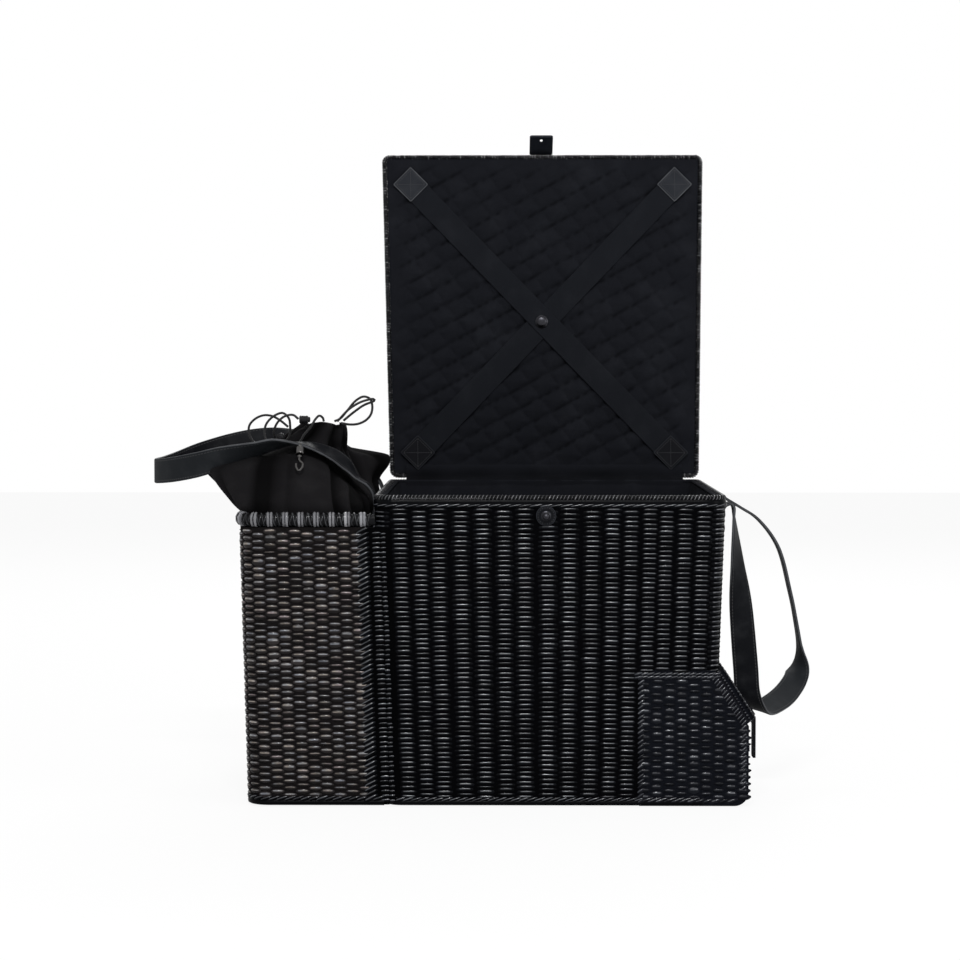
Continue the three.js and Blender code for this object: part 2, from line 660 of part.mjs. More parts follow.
/** A slab whose inner face is quilted: valleys along two sets of slanted lines. */
function quiltSlab() {
  const slopeLeft = Math.tan(rad(QUILT_SLANT_LEFT));
  const slopeRight = Math.tan(rad(QUILT_SLANT_RIGHT));
  const reach = LID_LENGTH * 1.1;
  const down = QUILT_PITCH / Math.cos(rad(QUILT_SLANT_LEFT));
  const up = QUILT_PITCH / Math.cos(rad(QUILT_SLANT_RIGHT));
  const valley = LINING_FACE + QUILT_DEPTH;
  const back = LINING_BACK + 1;
  const at = (i, j, depth) => {
    const x = (j * up - i * down) / (slopeLeft + slopeRight);
    const z = i * down + slopeLeft * x;
    return [x, depth, z];
  };
  const cells = [];
  const most = Math.ceil((reach * (1 + slopeRight)) / down);
  for (let i = -most; i <= most * 2; i += 1) {
    for (let j = -most; j <= most * 2; j += 1) {
      const [x, , z] = at(i + 0.5, j + 0.5, 0);
      const inside = Math.abs(x) < LID_FREE_HALF + QUILT_PITCH * 2;
      if (inside && z > -QUILT_PITCH * 2 && z < LID_LENGTH + QUILT_PITCH * 2) cells.push([i, j]);
    }
  }
  const corners = new Map();
  const positions = [];
  const index = [];
  const vertex = (i, j, depth) => {
    const key = `${i},${j},${depth}`;
    if (!corners.has(key)) {
      corners.set(key, positions.length / 3);
      positions.push(...at(i, j, depth));
    }
    return corners.get(key);
  };
  const taken = new Set(cells.map((cell) => cell.join()));
  const sides = [
    [0, 0, 1, 0, 0, -1],
    [1, 0, 1, 1, 1, 0],
    [1, 1, 0, 1, 0, 1],
    [0, 1, 0, 0, -1, 0],
  ];
  for (const [i, j] of cells) {
    const crown = vertex(i + 0.5, j + 0.5, LINING_FACE);
    const middle = vertex(i + 0.5, j + 0.5, back);
    for (const [a, b, c, d, nextI, nextJ] of sides) {
      const one = vertex(i + a, j + b, valley);
      const two = vertex(i + c, j + d, valley);
      const oneBack = vertex(i + a, j + b, back);
      const twoBack = vertex(i + c, j + d, back);
      index.push(crown, one, two);
      index.push(middle, twoBack, oneBack);
      if (!taken.has(`${i + nextI},${j + nextJ}`)) index.push(one, oneBack, twoBack, one, twoBack, two);
    }
  }
  const geometry = new THREE.BufferGeometry();
  geometry.setAttribute("position", new THREE.Float32BufferAttribute(positions, 3));
  geometry.setIndex(index);
  const slab = solid(geometry);
  return slab.volume() > 0 ? slab : solid(flipped(geometry));
}

/** The same faces turned the other way. */
function flipped(geometry) {
  const index = Array.from(geometry.index.array);
  for (let at = 0; at < index.length; at += 3) {
    [index[at + 1], index[at + 2]] = [index[at + 2], index[at + 1]];
  }
  const turnedOver = geometry.clone();
  turnedOver.setIndex(index);
  return turnedOver;
}

/** A place on the lid: across it, along it from the hinge, and through it. */
function onLid(x, along, through) {
  return new THREE.Vector3(x, through, along);
}

/** A webbing band between two places on the lid, humped over the other band if it is on top. */
function webBand(from, to, hump) {
  const length = from.distanceTo(to);
  const side = new THREE.Shape();
  const rise = hump ? WEB_THICK + WEB_GAP : 0;
  const cross = from.distanceTo(snapPlace(WEB_FACE));
  const ramp = WEB_WIDTH * 0.3;
  const flat = WEB_WIDTH * 0.75;
  const points = [
    [0, 0],
    [cross - flat - ramp, 0],
    [cross - flat, rise],
    [cross + flat, rise],
    [cross + flat + ramp, 0],
    [length, 0],
  ];
  side.moveTo(...points[0]);
  points.slice(1).forEach(([along, up]) => side.lineTo(along, up));
  points.reverse().forEach(([along, up]) => side.lineTo(along, up - WEB_THICK));
  side.closePath();
  const band = new THREE.ExtrudeGeometry(side, { depth: WEB_WIDTH, bevelEnabled: false });
  band.translate(0, 0, -WEB_WIDTH / 2);
  const along = to.clone().sub(from).normalize();
  const out = new THREE.Vector3(0, -1, 0);
  const width = new THREE.Vector3().crossVectors(along, out);
  const place = new THREE.Matrix4().makeBasis(along, out, width);
  place.setPosition(from.clone());
  return band.applyMatrix4(place);
}

/** The place of the snap where the two bands cross, at a depth through the lid. */
function snapPlace(through) {
  return onLid(SNAP_X, LID_LENGTH - SNAP_DOWN, through);
}

/** A square leather patch on its point, at a place on the lid. */
function patch(name, x, along, group) {
  const half = PATCH_SIDE / 2;
  const shape = roundShape(-half, half, -half, half, 1.5);
  const mesh = piece(name, plate(shape, PATCH_THICK, 3), "leather", group);
  mesh.position.copy(onLid(x, along, WEB_FACE - CLEAR));
  mesh.rotation.set(Math.PI / 2, 0, 0);
  mesh.rotateZ(Math.PI / 4);
}

/** A ball stud on its base, pointing along local Z. */
function ballStud() {
  const neck = 1.7;
  const baseHigh = 1.2;
  const ballAt = baseHigh + 1.6 + STUD_BALL_RADIUS;
  const profile = [
    [0, 0],
    [STUD_BALL_RADIUS + 0.6, 0],
    [STUD_BALL_RADIUS + 0.6, baseHigh],
    [neck, baseHigh],
  ];
  for (let step = 1; step <= 7; step += 1) {
    const angle = rad(-65 + (155 * step) / 7);
    const radius = step === 7 ? 0 : STUD_BALL_RADIUS * Math.cos(angle);
    profile.push([radius, ballAt + STUD_BALL_RADIUS * Math.sin(angle)]);
  }
  return turned(profile, 16);
}

/** A low domed snap, pointing along local Z. */
function snapDome(radius, height) {
  return turned([
    [0, 0],
    [radius, 0],
    [radius, height * 0.35],
    [radius * 0.86, height * 0.75],
    [radius * 0.5, height * 0.96],
    [0, height],
  ], 18);
}

/** A leather tab from its hinge line along local Z, with round corners and a stud hole. */
function tab(width, length, holeRadius, holeFromTip) {
  const half = width / 2;
  const shape = roundShape(-half, half, 0, length, TAB_CORNER);
  const hole = new THREE.Path();
  const slotLow = length - holeFromTip - TAB_CORNER * 2;
  hole.moveTo(holeRadius, slotLow);
  hole.lineTo(holeRadius, length - holeFromTip);
  hole.absarc(0, length - holeFromTip, holeRadius, 0, Math.PI);
  hole.lineTo(-holeRadius, slotLow);
  hole.absarc(0, slotLow, holeRadius, Math.PI, 2 * Math.PI);
  shape.holes.push(hole);
  const flap = plate(shape, TAB_THICK, 4);
  flap.translate(0, 0, -TAB_THICK / 2);
  return flap.rotateX(Math.PI / 2);
}

/** Lid: woven panel and rim, quilted lining, crossed bands, patches, snap and closing tab. */
function lid() {
  const group = new THREE.Group();
  group.position.set(0, LID_HINGE_Y, LID_HINGE_Z);
  group.rotation.x = -rad(LID_LEAN);
  basket.add(group);

  const rim = lidBody(0, 0, LID_THICK).subtract(lidBody(LID_RIM_WIDTH, -1, LID_THICK + 1));
  piece("lid_rim", geometryOf(rim), "weave", group);
  const inset = LID_RIM_WIDTH + CLEAR;
  const panel = lidBody(inset, LID_THICK - PANEL_THICK, LID_THICK - 0.4);
  piece("lid_panel", geometryOf(panel), "weave", group);
  const lining = lidBody(inset, LINING_FACE - 1, LINING_BACK).intersect(quiltSlab());
  piece("lid_lining", geometryOf(lining), "fabric", group);

  const freeAlong = LID_LENGTH - PATCH_FREE.down;
  const web = LINING_FACE - CLEAR - WEB_THICK;
  const cross = snapPlace(web);
  const reach = (x, along) => {
    const end = onLid(x, along, web);
    return end.add(end.clone().sub(cross).normalize().multiplyScalar(WEB_WIDTH * 0.1));
  };
  const topBand = webBand(reach(-PATCH_FREE.x, freeAlong), reach(PATCH_HINGE.x, PATCH_HINGE.up), true);
  const lowBand = webBand(reach(PATCH_FREE.x, freeAlong), reach(-PATCH_HINGE.x, PATCH_HINGE.up), false);
  piece("lid_band_over", topBand, "webbing", group);
  piece("lid_band_under", lowBand, "webbing", group);
  patch("lid_patch_free_left", -PATCH_FREE.x, freeAlong, group);
  patch("lid_patch_free_right", PATCH_FREE.x, freeAlong, group);
  patch("lid_patch_hinge_left", -PATCH_HINGE.x, PATCH_HINGE.up, group);
  patch("lid_patch_hinge_right", PATCH_HINGE.x, PATCH_HINGE.up, group);
  const snap = piece("lid_band_snap", snapDome(SNAP_RADIUS, 3.4), "metal", group);
  snap.position.copy(snapPlace(web - WEB_THICK - WEB_GAP - CLEAR));
  snap.rotation.x = Math.PI / 2;

  const rootShape = roundShape(-TAB_WIDTH / 2, TAB_WIDTH / 2, 0, TAB_ROOT, TAB_CORNER);
  const root = piece("lid_tab_root", plate(rootShape, TAB_THICK, 4), "leather", group);
  root.position.copy(onLid(TAB_X, LID_LENGTH - TAB_ROOT, LID_THICK + CLEAR + TAB_THICK));
  root.rotation.x = Math.PI / 2;
  const flap = piece(
    "lid_tab",
    tab(TAB_WIDTH, TAB_LENGTH, TAB_HOLE_RADIUS, TAB_HOLE_FROM_TIP),
    "leather",
    group,
  );
  flap.position.copy(onLid(TAB_X, LID_LENGTH + CLEAR + 1.3, LID_THICK + CLEAR + TAB_THICK / 2));
  flap.rotation.x = rad(TAB_BEND);
}

/** Round patch and ball stud on the front of the main box. */
function frontStud() {
  const group = new THREE.Group();
  group.position.set(TAB_X, -boxHalf(STUD_Z) - CLEAR, STUD_Z);
  group.rotation.x = Math.PI / 2 + Math.atan((BOX_RIM_HALF - BOX_BASE_HALF) / BOX_HEIGHT);
  basket.add(group);
  const radius = STUD_PATCH_RADIUS;
  const disc = turned([
    [0, 0],
    [radius, 0],
    [radius, STUD_PATCH_THICK],
    [0, STUD_PATCH_THICK],
  ], 24);
  piece("front_stud_patch", disc, "leather", group);
  const stud = piece("front_stud", ballStud(), "darkMetal", group);
  stud.position.z = STUD_PATCH_THICK + CLEAR;
}

/** The pocket's side outline in X and Z, moved in by an inset, closed by the line of its mouth. */
function pocketOutline(inset) {
  const slope = rad(POCKET_LID_SLOPE);
  const down = new THREE.Vector2(Math.cos(slope), -Math.sin(slope));
  const out = new THREE.Vector2(Math.sin(slope), Math.cos(slope));
  const mouth = new THREE.Vector2(POCKET_HINGE_X, POCKET_HINGE_Z);
  mouth.addScaledVector(out, -POCKET_LID_THICK - CLEAR);
  const meetTop = mouth.clone().addScaledVector(down, (mouth.y - POCKET_TOP + inset) / -down.y);
  const side = POCKET_RIGHT - inset;
  const meetSide = mouth.clone().addScaledVector(down, (side - mouth.x) / down.x);
  const round = POCKET_CORNER - inset;
  const left = POCKET_LEFT + inset;
  const shape = new THREE.Shape();
  shape.moveTo(left, inset);
  shape.lineTo(side - round, inset);
  shape.absarc(side - round, inset + round, round, rad(-90), 0);
  shape.lineTo(side, meetSide.y);
  if (inset > 0) {
    shape.lineTo(side + out.x * 20, meetSide.y + out.y * 20);
    shape.lineTo(meetTop.x + out.x * 20, meetTop.y + out.y * 20);
  }
  shape.lineTo(meetTop.x, meetTop.y);
  shape.lineTo(left, POCKET_TOP - inset);
  return shape;
}

/** The pocket's outline as a solid across part of its depth. */
function pocketBody(inset) {
  const front = -BOX_RIM_HALF - BOX_WALL;
  const back = POCKET_DEPTH - boxHalf(0) - inset;
  const turn = new THREE.Matrix4().makeTranslation(0, back, 0);
  turn.multiply(new THREE.Matrix4().makeRotationX(Math.PI / 2));
  const body = solid(plate(pocketOutline(inset), back - front, 5), turn);
  const levels = [-BOX_WALL, POCKET_TOP + 40];
  const rings = levels.map((z) => {
    const face = -boxHalf(z) + inset;
    return roundRing(z, 0, BOX_RIM_HALF * 2, face, BOX_RIM_HALF, 3, 2);
  });
  return body.intersect(solid(loft(rings)));
}

/** Pocket basket with its liner, sloped lid, tab and snap. */
function pocket() {
  const shell = pocketBody(0).subtract(pocketBody(POCKET_WALL));
  piece("pocket_basket", geometryOf(shell), "weave");
  const lining = pocketBody(POCKET_WALL + CLEAR).subtract(pocketBody(POCKET_WALL + CLEAR + 2));
  const below = block(0, BOX_RIM_HALF * 2, -BOX_RIM_HALF, 0, 0, POCKET_TOP);
  const slope = rad(POCKET_LID_SLOPE);
  const cut = new THREE.Matrix4().makeTranslation(POCKET_HINGE_X, -BOX_RIM_HALF, POCKET_HINGE_Z);
  cut.multiply(new THREE.Matrix4().makeRotationY(slope));
  const big = BOX_RIM_HALF * 2;
  const wide = new THREE.BoxGeometry(big, big * 2, big);
  wide.translate(0, 0, big / 2 - POCKET_LID_THICK - 1);
  piece("pocket_liner", geometryOf(lining.intersect(below).subtract(solid(wide, cut))), "fabric");

  const group = new THREE.Group();
  const back = POCKET_DEPTH - boxHalf(0);
  const front = -boxHalf(POCKET_TOP / 2);
  const depth = back - front;
  group.position.set(POCKET_HINGE_X, (front + back) / 2, POCKET_HINGE_Z);
  group.rotation.y = slope;
  basket.add(group);

  const half = depth / 2;
  const start = 2.5;
  const woven = POCKET_LID_THICK * 0.55;
  const lidShape = roundShape(start, POCKET_LID_LENGTH, -half, half, 4);
  const board = piece("pocket_lid", plate(lidShape, woven, 4), "weave", group);
  board.position.z = -woven;
  const inner = 4;
  const padShape = roundShape(start + inner, POCKET_LID_LENGTH - inner, -half + inner, half - inner, 4);
  const pad = piece("pocket_lid_lining", plate(padShape, POCKET_LID_THICK - woven - CLEAR, 4), "fabric", group);
  pad.position.z = -POCKET_LID_THICK;

  const tabHalf = POCKET_TAB_WIDTH / 2;
  const rootShape = roundShape(POCKET_LID_LENGTH - POCKET_TAB_ROOT, POCKET_LID_LENGTH, -tabHalf, tabHalf, 2);
  const root = piece("pocket_tab_root", plate(rootShape, TAB_THICK, 4), "leather", group);
  root.position.z = CLEAR;

  const end = new THREE.Vector3(POCKET_LID_LENGTH, 0, CLEAR + TAB_THICK / 2);
  end.applyAxisAngle(new THREE.Vector3(0, 1, 0), slope).add(group.position);
  const hangShape = roundShape(-tabHalf, tabHalf, -POCKET_TAB_HANG, 0, TAB_CORNER);
  const hang = piece("pocket_tab", plate(hangShape, TAB_THICK, 4), "leather");
  hang.position.set(end.x - TAB_THICK / 2, end.y, end.z - 1.9);
  hang.rotation.set(Math.PI / 2, Math.PI / 2, 0);

  const snap = piece("pocket_snap", snapDome(SNAP_STUD_RADIUS, SNAP_STUD_PROUD), "darkMetal");
  snap.position.set(POCKET_RIGHT + CLEAR, end.y, end.z - POCKET_TAB_HANG + 7);
  snap.rotation.y = Math.PI / 2;
}

/** The clasp that hangs from the front of the left loop: bell, swivel ball and hook. */
function clasp() {
  const group = new THREE.Group();
  group.position.copy(outFrom(-1, BOX_HEIGHT, CLASP_AT));
  group.rotation.x = rad(CLASP_LIE);
  basket.add(group);
  const tether = 4;
  const bellLow = tether + 10;
  const bell = turned([
    [0, -bellLow],
    [CLASP_BELL_RADIUS * 0.9, -bellLow],
    [CLASP_BELL_RADIUS, -bellLow + 1.5],
    [CLASP_BELL_RADIUS * 0.92, -tether - 2],
    [CLASP_BELL_RADIUS * 0.45, -tether],
    [CLASP_BELL_RADIUS * 0.3, -tether + 3.2],
    [0, -tether + 3.2],
  ], 14);
  piece("clasp_bell", bell, "metal", group);
  const ballRadius = 2.3;
  const ballProfile = [[0, -bellLow - CLEAR]];
  for (let step = 1; step <= 8; step += 1) {
    const angle = rad(90 - (180 * step) / 8);
    const radius = step === 8 ? 0 : ballRadius * Math.cos(angle);
    ballProfile.push([radius, -bellLow - CLEAR - ballRadius + ballRadius * Math.sin(angle)]);
  }
  const ball = solid(turned(ballProfile.reverse(), 12));
  const hookTop = -bellLow - CLEAR - ballRadius * 1.4;
  const bend = 3.6;
  const curve = new THREE.CatmullRomCurve3([
    new THREE.Vector3(0, 0, hookTop),
    new THREE.Vector3(0, 0, hookTop - 4),
    new THREE.Vector3(bend, 0, hookTop - 8.5),
    new THREE.Vector3(bend * 0.9, 0, hookTop - 13),
    new THREE.Vector3(0, 0, -CLASP_LENGTH + 1),
    new THREE.Vector3(-bend * 0.8, 0, hookTop - 12.5),
    new THREE.Vector3(-bend * 0.85, 0, hookTop - 8.5),
  ]);
  const round = new THREE.Shape();
  round.absarc(0, 0, 1.1, 0, 2 * Math.PI);
  const wire = new THREE.ExtrudeGeometry(round, {
    steps: 16,
    extrudePath: curve,
    bevelEnabled: false,
    curveSegments: 4,
  });
  piece("clasp_hook", geometryOf(ball.add(solid(wire))), "metal", group);
}

/** A cord lock: a barrel that the cord runs through, and its push button. */
function cordLock(name, place, turn) {
  const group = new THREE.Group();
  group.position.copy(outFrom(-1, BOTTLE_HEIGHT, place));
  group.rotation.set(...turn);
  basket.add(group);
  const half = LOCK_LENGTH / 2;
  const well = 2;
  const bore = LOCK_BUTTON_RADIUS + CLEAR;
  const barrel = turned([
    [0, -half],
    [LOCK_RADIUS * 0.85, -half],
    [LOCK_RADIUS, -half + 1],
    [LOCK_RADIUS, half - 0.6],
    [LOCK_RADIUS * 0.9, half],
    [bore, half],
    [bore, half - well],
    [0, half - well],
  ], 16);
  piece(`${name}_barrel`, barrel, "plastic", group);
  const button = turned([
    [0, 0],
    [LOCK_BUTTON_RADIUS, 0],
    [LOCK_BUTTON_RADIUS, LOCK_BUTTON_PROUD * 0.7],
    [LOCK_BUTTON_RADIUS * 0.6, LOCK_BUTTON_PROUD],
    [0, LOCK_BUTTON_PROUD],
  ], 14);
  const plunger = piece(`${name}_button`, button, "plastic", group);
  plunger.position.z = half - CLEAR;
}

/** A round cord along its route. */
function cord(name, route, steps) {
  const curve = new THREE.CatmullRomCurve3(route.map((point) => outFrom(-1, BOTTLE_HEIGHT, point)));
  const radius = CORD_DIAMETER / 2;
  const frames = curve.computeFrenetFrames(steps, false);
  const rings = [];
  for (let step = 0; step <= steps; step += 1) {
    const centre = curve.getPointAt(step / steps);
    const ring = [];
    for (let side = 0; side < 8; side += 1) {
      const angle = (2 * Math.PI * side) / 8;
      const point = centre.clone();
      point.addScaledVector(frames.normals[step], radius * Math.cos(angle));
      point.addScaledVector(frames.binormals[step], radius * Math.sin(angle));
      ring.push(point);
    }
    rings.push(ring);
  }
  piece(name, flipped(tube(rings)), "fabric");
}

mainBox();
bottleBasket();
drawstringBag();
handles();
lid();
frontStud();
pocket();
clasp();
cordLock("upper_lock", UPPER_LOCK.at, UPPER_LOCK.turn.map(rad));
cordLock("lower_lock", LOWER_LOCK.at, LOWER_LOCK.turn.map(rad));
cord("cord_left", CORD_LEFT, 40);
cord("cord_outer", CORD_OUTER, 24);
cord("cord_front", CORD_FRONT, 16);
cord("cord_bow", CORD_BOW, 30);

export default basket;
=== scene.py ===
"""Builds and dresses a woven, insulated picnic basket on its CAD frame."""

import logging
import math
from dataclasses import dataclass
from enum import Enum
from typing import Callable, Optional, Sequence, Union

import bpy
import numpy as np
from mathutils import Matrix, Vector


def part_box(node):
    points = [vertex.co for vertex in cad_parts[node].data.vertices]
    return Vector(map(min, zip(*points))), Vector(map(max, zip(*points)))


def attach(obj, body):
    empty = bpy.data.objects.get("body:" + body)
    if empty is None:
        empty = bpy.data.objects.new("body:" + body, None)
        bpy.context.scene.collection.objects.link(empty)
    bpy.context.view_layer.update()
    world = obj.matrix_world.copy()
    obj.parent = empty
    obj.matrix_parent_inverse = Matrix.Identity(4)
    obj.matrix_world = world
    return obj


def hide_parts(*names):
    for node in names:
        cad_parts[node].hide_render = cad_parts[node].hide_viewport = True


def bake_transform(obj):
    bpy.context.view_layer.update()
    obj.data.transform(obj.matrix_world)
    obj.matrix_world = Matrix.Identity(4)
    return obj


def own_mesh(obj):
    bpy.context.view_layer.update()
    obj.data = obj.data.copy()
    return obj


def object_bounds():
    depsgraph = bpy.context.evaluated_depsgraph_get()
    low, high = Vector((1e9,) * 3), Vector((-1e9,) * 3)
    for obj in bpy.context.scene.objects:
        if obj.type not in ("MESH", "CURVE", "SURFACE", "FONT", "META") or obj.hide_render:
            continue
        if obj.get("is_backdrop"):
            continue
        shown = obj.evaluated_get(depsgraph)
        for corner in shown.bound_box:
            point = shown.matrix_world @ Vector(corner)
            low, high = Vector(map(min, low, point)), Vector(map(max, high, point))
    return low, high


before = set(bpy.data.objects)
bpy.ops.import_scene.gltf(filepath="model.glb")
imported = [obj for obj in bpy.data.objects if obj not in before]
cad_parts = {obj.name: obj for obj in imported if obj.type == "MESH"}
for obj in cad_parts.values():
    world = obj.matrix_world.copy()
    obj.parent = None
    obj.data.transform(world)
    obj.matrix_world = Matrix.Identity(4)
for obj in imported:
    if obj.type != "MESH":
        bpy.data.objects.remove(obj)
box_at_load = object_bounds()

LOG = logging.getLogger("basket")
MM = 0.001

Array = np.ndarray
Reals = Union[float, Array]
Material = bpy.types.Material
Chance = np.random.Generator
Colour = tuple[float, float, float]
Spot = tuple[float, float, float]
Placer = Callable[[Array, Array, Array], Array]

# The box's own sizes, in millimetres, that several pieces share
BOX_HEIGHT = 313.0
BOX_FOOT_HALF = 166.0
BOX_BRIM_HALF = 176.0
BOX_CORNER = 18.0
BOTTLE_HEIGHT = 281.0
POCKET_LEFT = 90.0
POCKET_TOP = 137.0
POCKET_BACK = -101.0


def half_at(height: Reals) -> Reals:
    """Gives half the main box's width at a height, in millimetres."""
    return BOX_FOOT_HALF + (BOX_BRIM_HALF - BOX_FOOT_HALF) * height / BOX_HEIGHT


def unit(vectors: Array) -> Array:
    """Gives the vectors at length one."""
    lengths = np.linalg.norm(vectors, axis=-1, keepdims=True)
    return vectors / np.maximum(lengths, 1e-9)


def smooth_step(low: float, high: float, value: Array) -> Array:
    """Rises smoothly from 0 at low to 1 at high."""
    share = np.clip((value - low) / (high - low), 0.0, 1.0)
    return share * share * (3.0 - 2.0 * share)


def smooth_route(points: Sequence[Sequence[float]], steps: int) -> Array:
    """Runs a smooth curve through points, at even distances.

    Args:
        points: The points that the curve passes through, with any number of values each.
        steps: How many points the curve has.

    Returns:
        The curve's points, one row each.
    """
    given = np.array(points, float)
    gaps = np.linalg.norm(np.diff(given[:, :3], axis=0), axis=1)
    knots = np.concatenate([[0.0], np.cumsum(np.sqrt(gaps))])
    slopes = np.gradient(given, knots, axis=0)
    fine = np.linspace(0.0, knots[-1], steps * 8)
    leg = np.clip(np.searchsorted(knots, fine, side="right") - 1, 0, len(knots) - 2)
    width = (knots[leg + 1] - knots[leg])[:, None]
    share = ((fine - knots[leg]) / width[:, 0])[:, None]
    curve = (
        (2 * share**3 - 3 * share**2 + 1) * given[leg]
        + (share**3 - 2 * share**2 + share) * width * slopes[leg]
        + (3 * share**2 - 2 * share**3) * given[leg + 1]
        + (share**3 - share**2) * width * slopes[leg + 1]
    )
    run = np.concatenate([[0.0], np.cumsum(np.linalg.norm(np.diff(curve[:, :3], axis=0), axis=1))])
    even = np.linspace(0.0, run[-1], steps)
    return np.stack([np.interp(even, run, curve[:, k]) for k in range(given.shape[1])], axis=1)


# Shader trees


class Sock:
    """One output of a shader tree, with arithmetic on its values."""

    def __init__(self, paint: "Tree", socket: bpy.types.NodeSocket) -> None:
        """Keeps an output socket and the tree that it belongs to."""
        self.paint = paint
        self.socket = socket

    def maths(self, operation: str, first: "Value", second: "Value" = 0.0) -> "Sock":
        """Adds one Math node."""
        return self.paint.node("ShaderNodeMath", {"operation": operation}, {0: first, 1: second})

    def __add__(self, other: "Value") -> "Sock":
        """Adds a value."""
        return self.maths("ADD", self, other)

    def __radd__(self, other: "Value") -> "Sock":
        """Adds this to a value."""
        return self.maths("ADD", other, self)

    def __sub__(self, other: "Value") -> "Sock":
        """Takes a value away."""
        return self.maths("SUBTRACT", self, other)

    def __rsub__(self, other: "Value") -> "Sock":
        """Takes this from a value."""
        return self.maths("SUBTRACT", other, self)

    def __mul__(self, other: "Value") -> "Sock":
        """Multiplies by a value."""
        return self.maths("MULTIPLY", self, other)

    def __rmul__(self, other: "Value") -> "Sock":
        """Multiplies a value by this."""
        return self.maths("MULTIPLY", other, self)

    def __truediv__(self, other: "Value") -> "Sock":
        """Divides by a value."""
        return self.maths("DIVIDE", self, other)

    def __pow__(self, other: "Value") -> "Sock":
        """Raises to a power."""
        return self.maths("POWER", self, other)

    def __abs__(self) -> "Sock":
        """Drops the sign."""
        return self.maths("ABSOLUTE", self)

    def most(self, other: "Value") -> "Sock":
        """Gives the greater of two values."""
        return self.maths("MAXIMUM", self, other)

    def cycle(self) -> "Sock":
        """Keeps the part after the decimal point."""
        return self.maths("FRACT", self)

    def sine(self) -> "Sock":
        """Gives the sine."""
        return self.maths("SINE", self)

    def between(self, low: float, high: float) -> "Sock":
        """Rises smoothly from 0 at low to 1 at high."""
        settings = {"interpolation_type": "SMOOTHSTEP"}
        return self.paint.node("ShaderNodeMapRange", settings, {0: self, 1: low, 2: high})


Value = Union[Sock, float]
Input = Union[Sock, float, Colour, tuple[float, float, float, float]]


class Tree:
    """A shader tree in the making."""

    def __init__(self, owner: Union[Material, bpy.types.World]) -> None:
        """Starts an empty tree for a material or a world."""
        owner.use_nodes = True
        self.tree = owner.node_tree
        self.tree.nodes.clear()

    def put(self, node: bpy.types.Node, inputs: dict[Union[str, int], Input]) -> None:
        """Gives a node's sockets their values or links.

        Args:
            node: The node.
            inputs: The value or link of each socket, by name or number.
        """
        for key, value in inputs.items():
            if isinstance(value, Sock):
                self.tree.links.new(value.socket, node.inputs[key])
            elif isinstance(value, tuple) and len(node.inputs[key].default_value) == 4:
                node.inputs[key].default_value = (*value[:3], 1.0)
            else:
                node.inputs[key].default_value = value

    def node(
        self,
        kind: str,
        settings: Optional[dict[str, object]] = None,
        inputs: Optional[dict[Union[str, int], Input]] = None,
        output: Union[str, int] = 0,
    ) -> Sock:
        """Adds a node of any type.

        Args:
            kind: The node's type.
            settings: The node's settings; "stops" gives a ramp's places and colours.
            inputs: The value or link of each socket.
            output: The output that is wanted.

        Returns:
            That output.
        """
        node = self.tree.nodes.new(kind)
        for name, value in (settings or {}).items():
            if name == "stops":
                self.stops(node.color_ramp, value)
            else:
                setattr(node, name, value)
        self.put(node, inputs or {})
        return Sock(self, node.outputs[output])

    @staticmethod
    def stops(ramp: bpy.types.ColorRamp, stops: Sequence[tuple[float, Colour]]) -> None:
        """Sets a ramp's stops.

        Args:
            ramp: The ramp.
            stops: Each stop's place and colour.
        """
        while len(ramp.elements) < len(stops):
            ramp.elements.new(1.0)
        for element, (place, colour) in zip(ramp.elements, stops):
            element.position = place
            element.color = (*colour, 1.0)


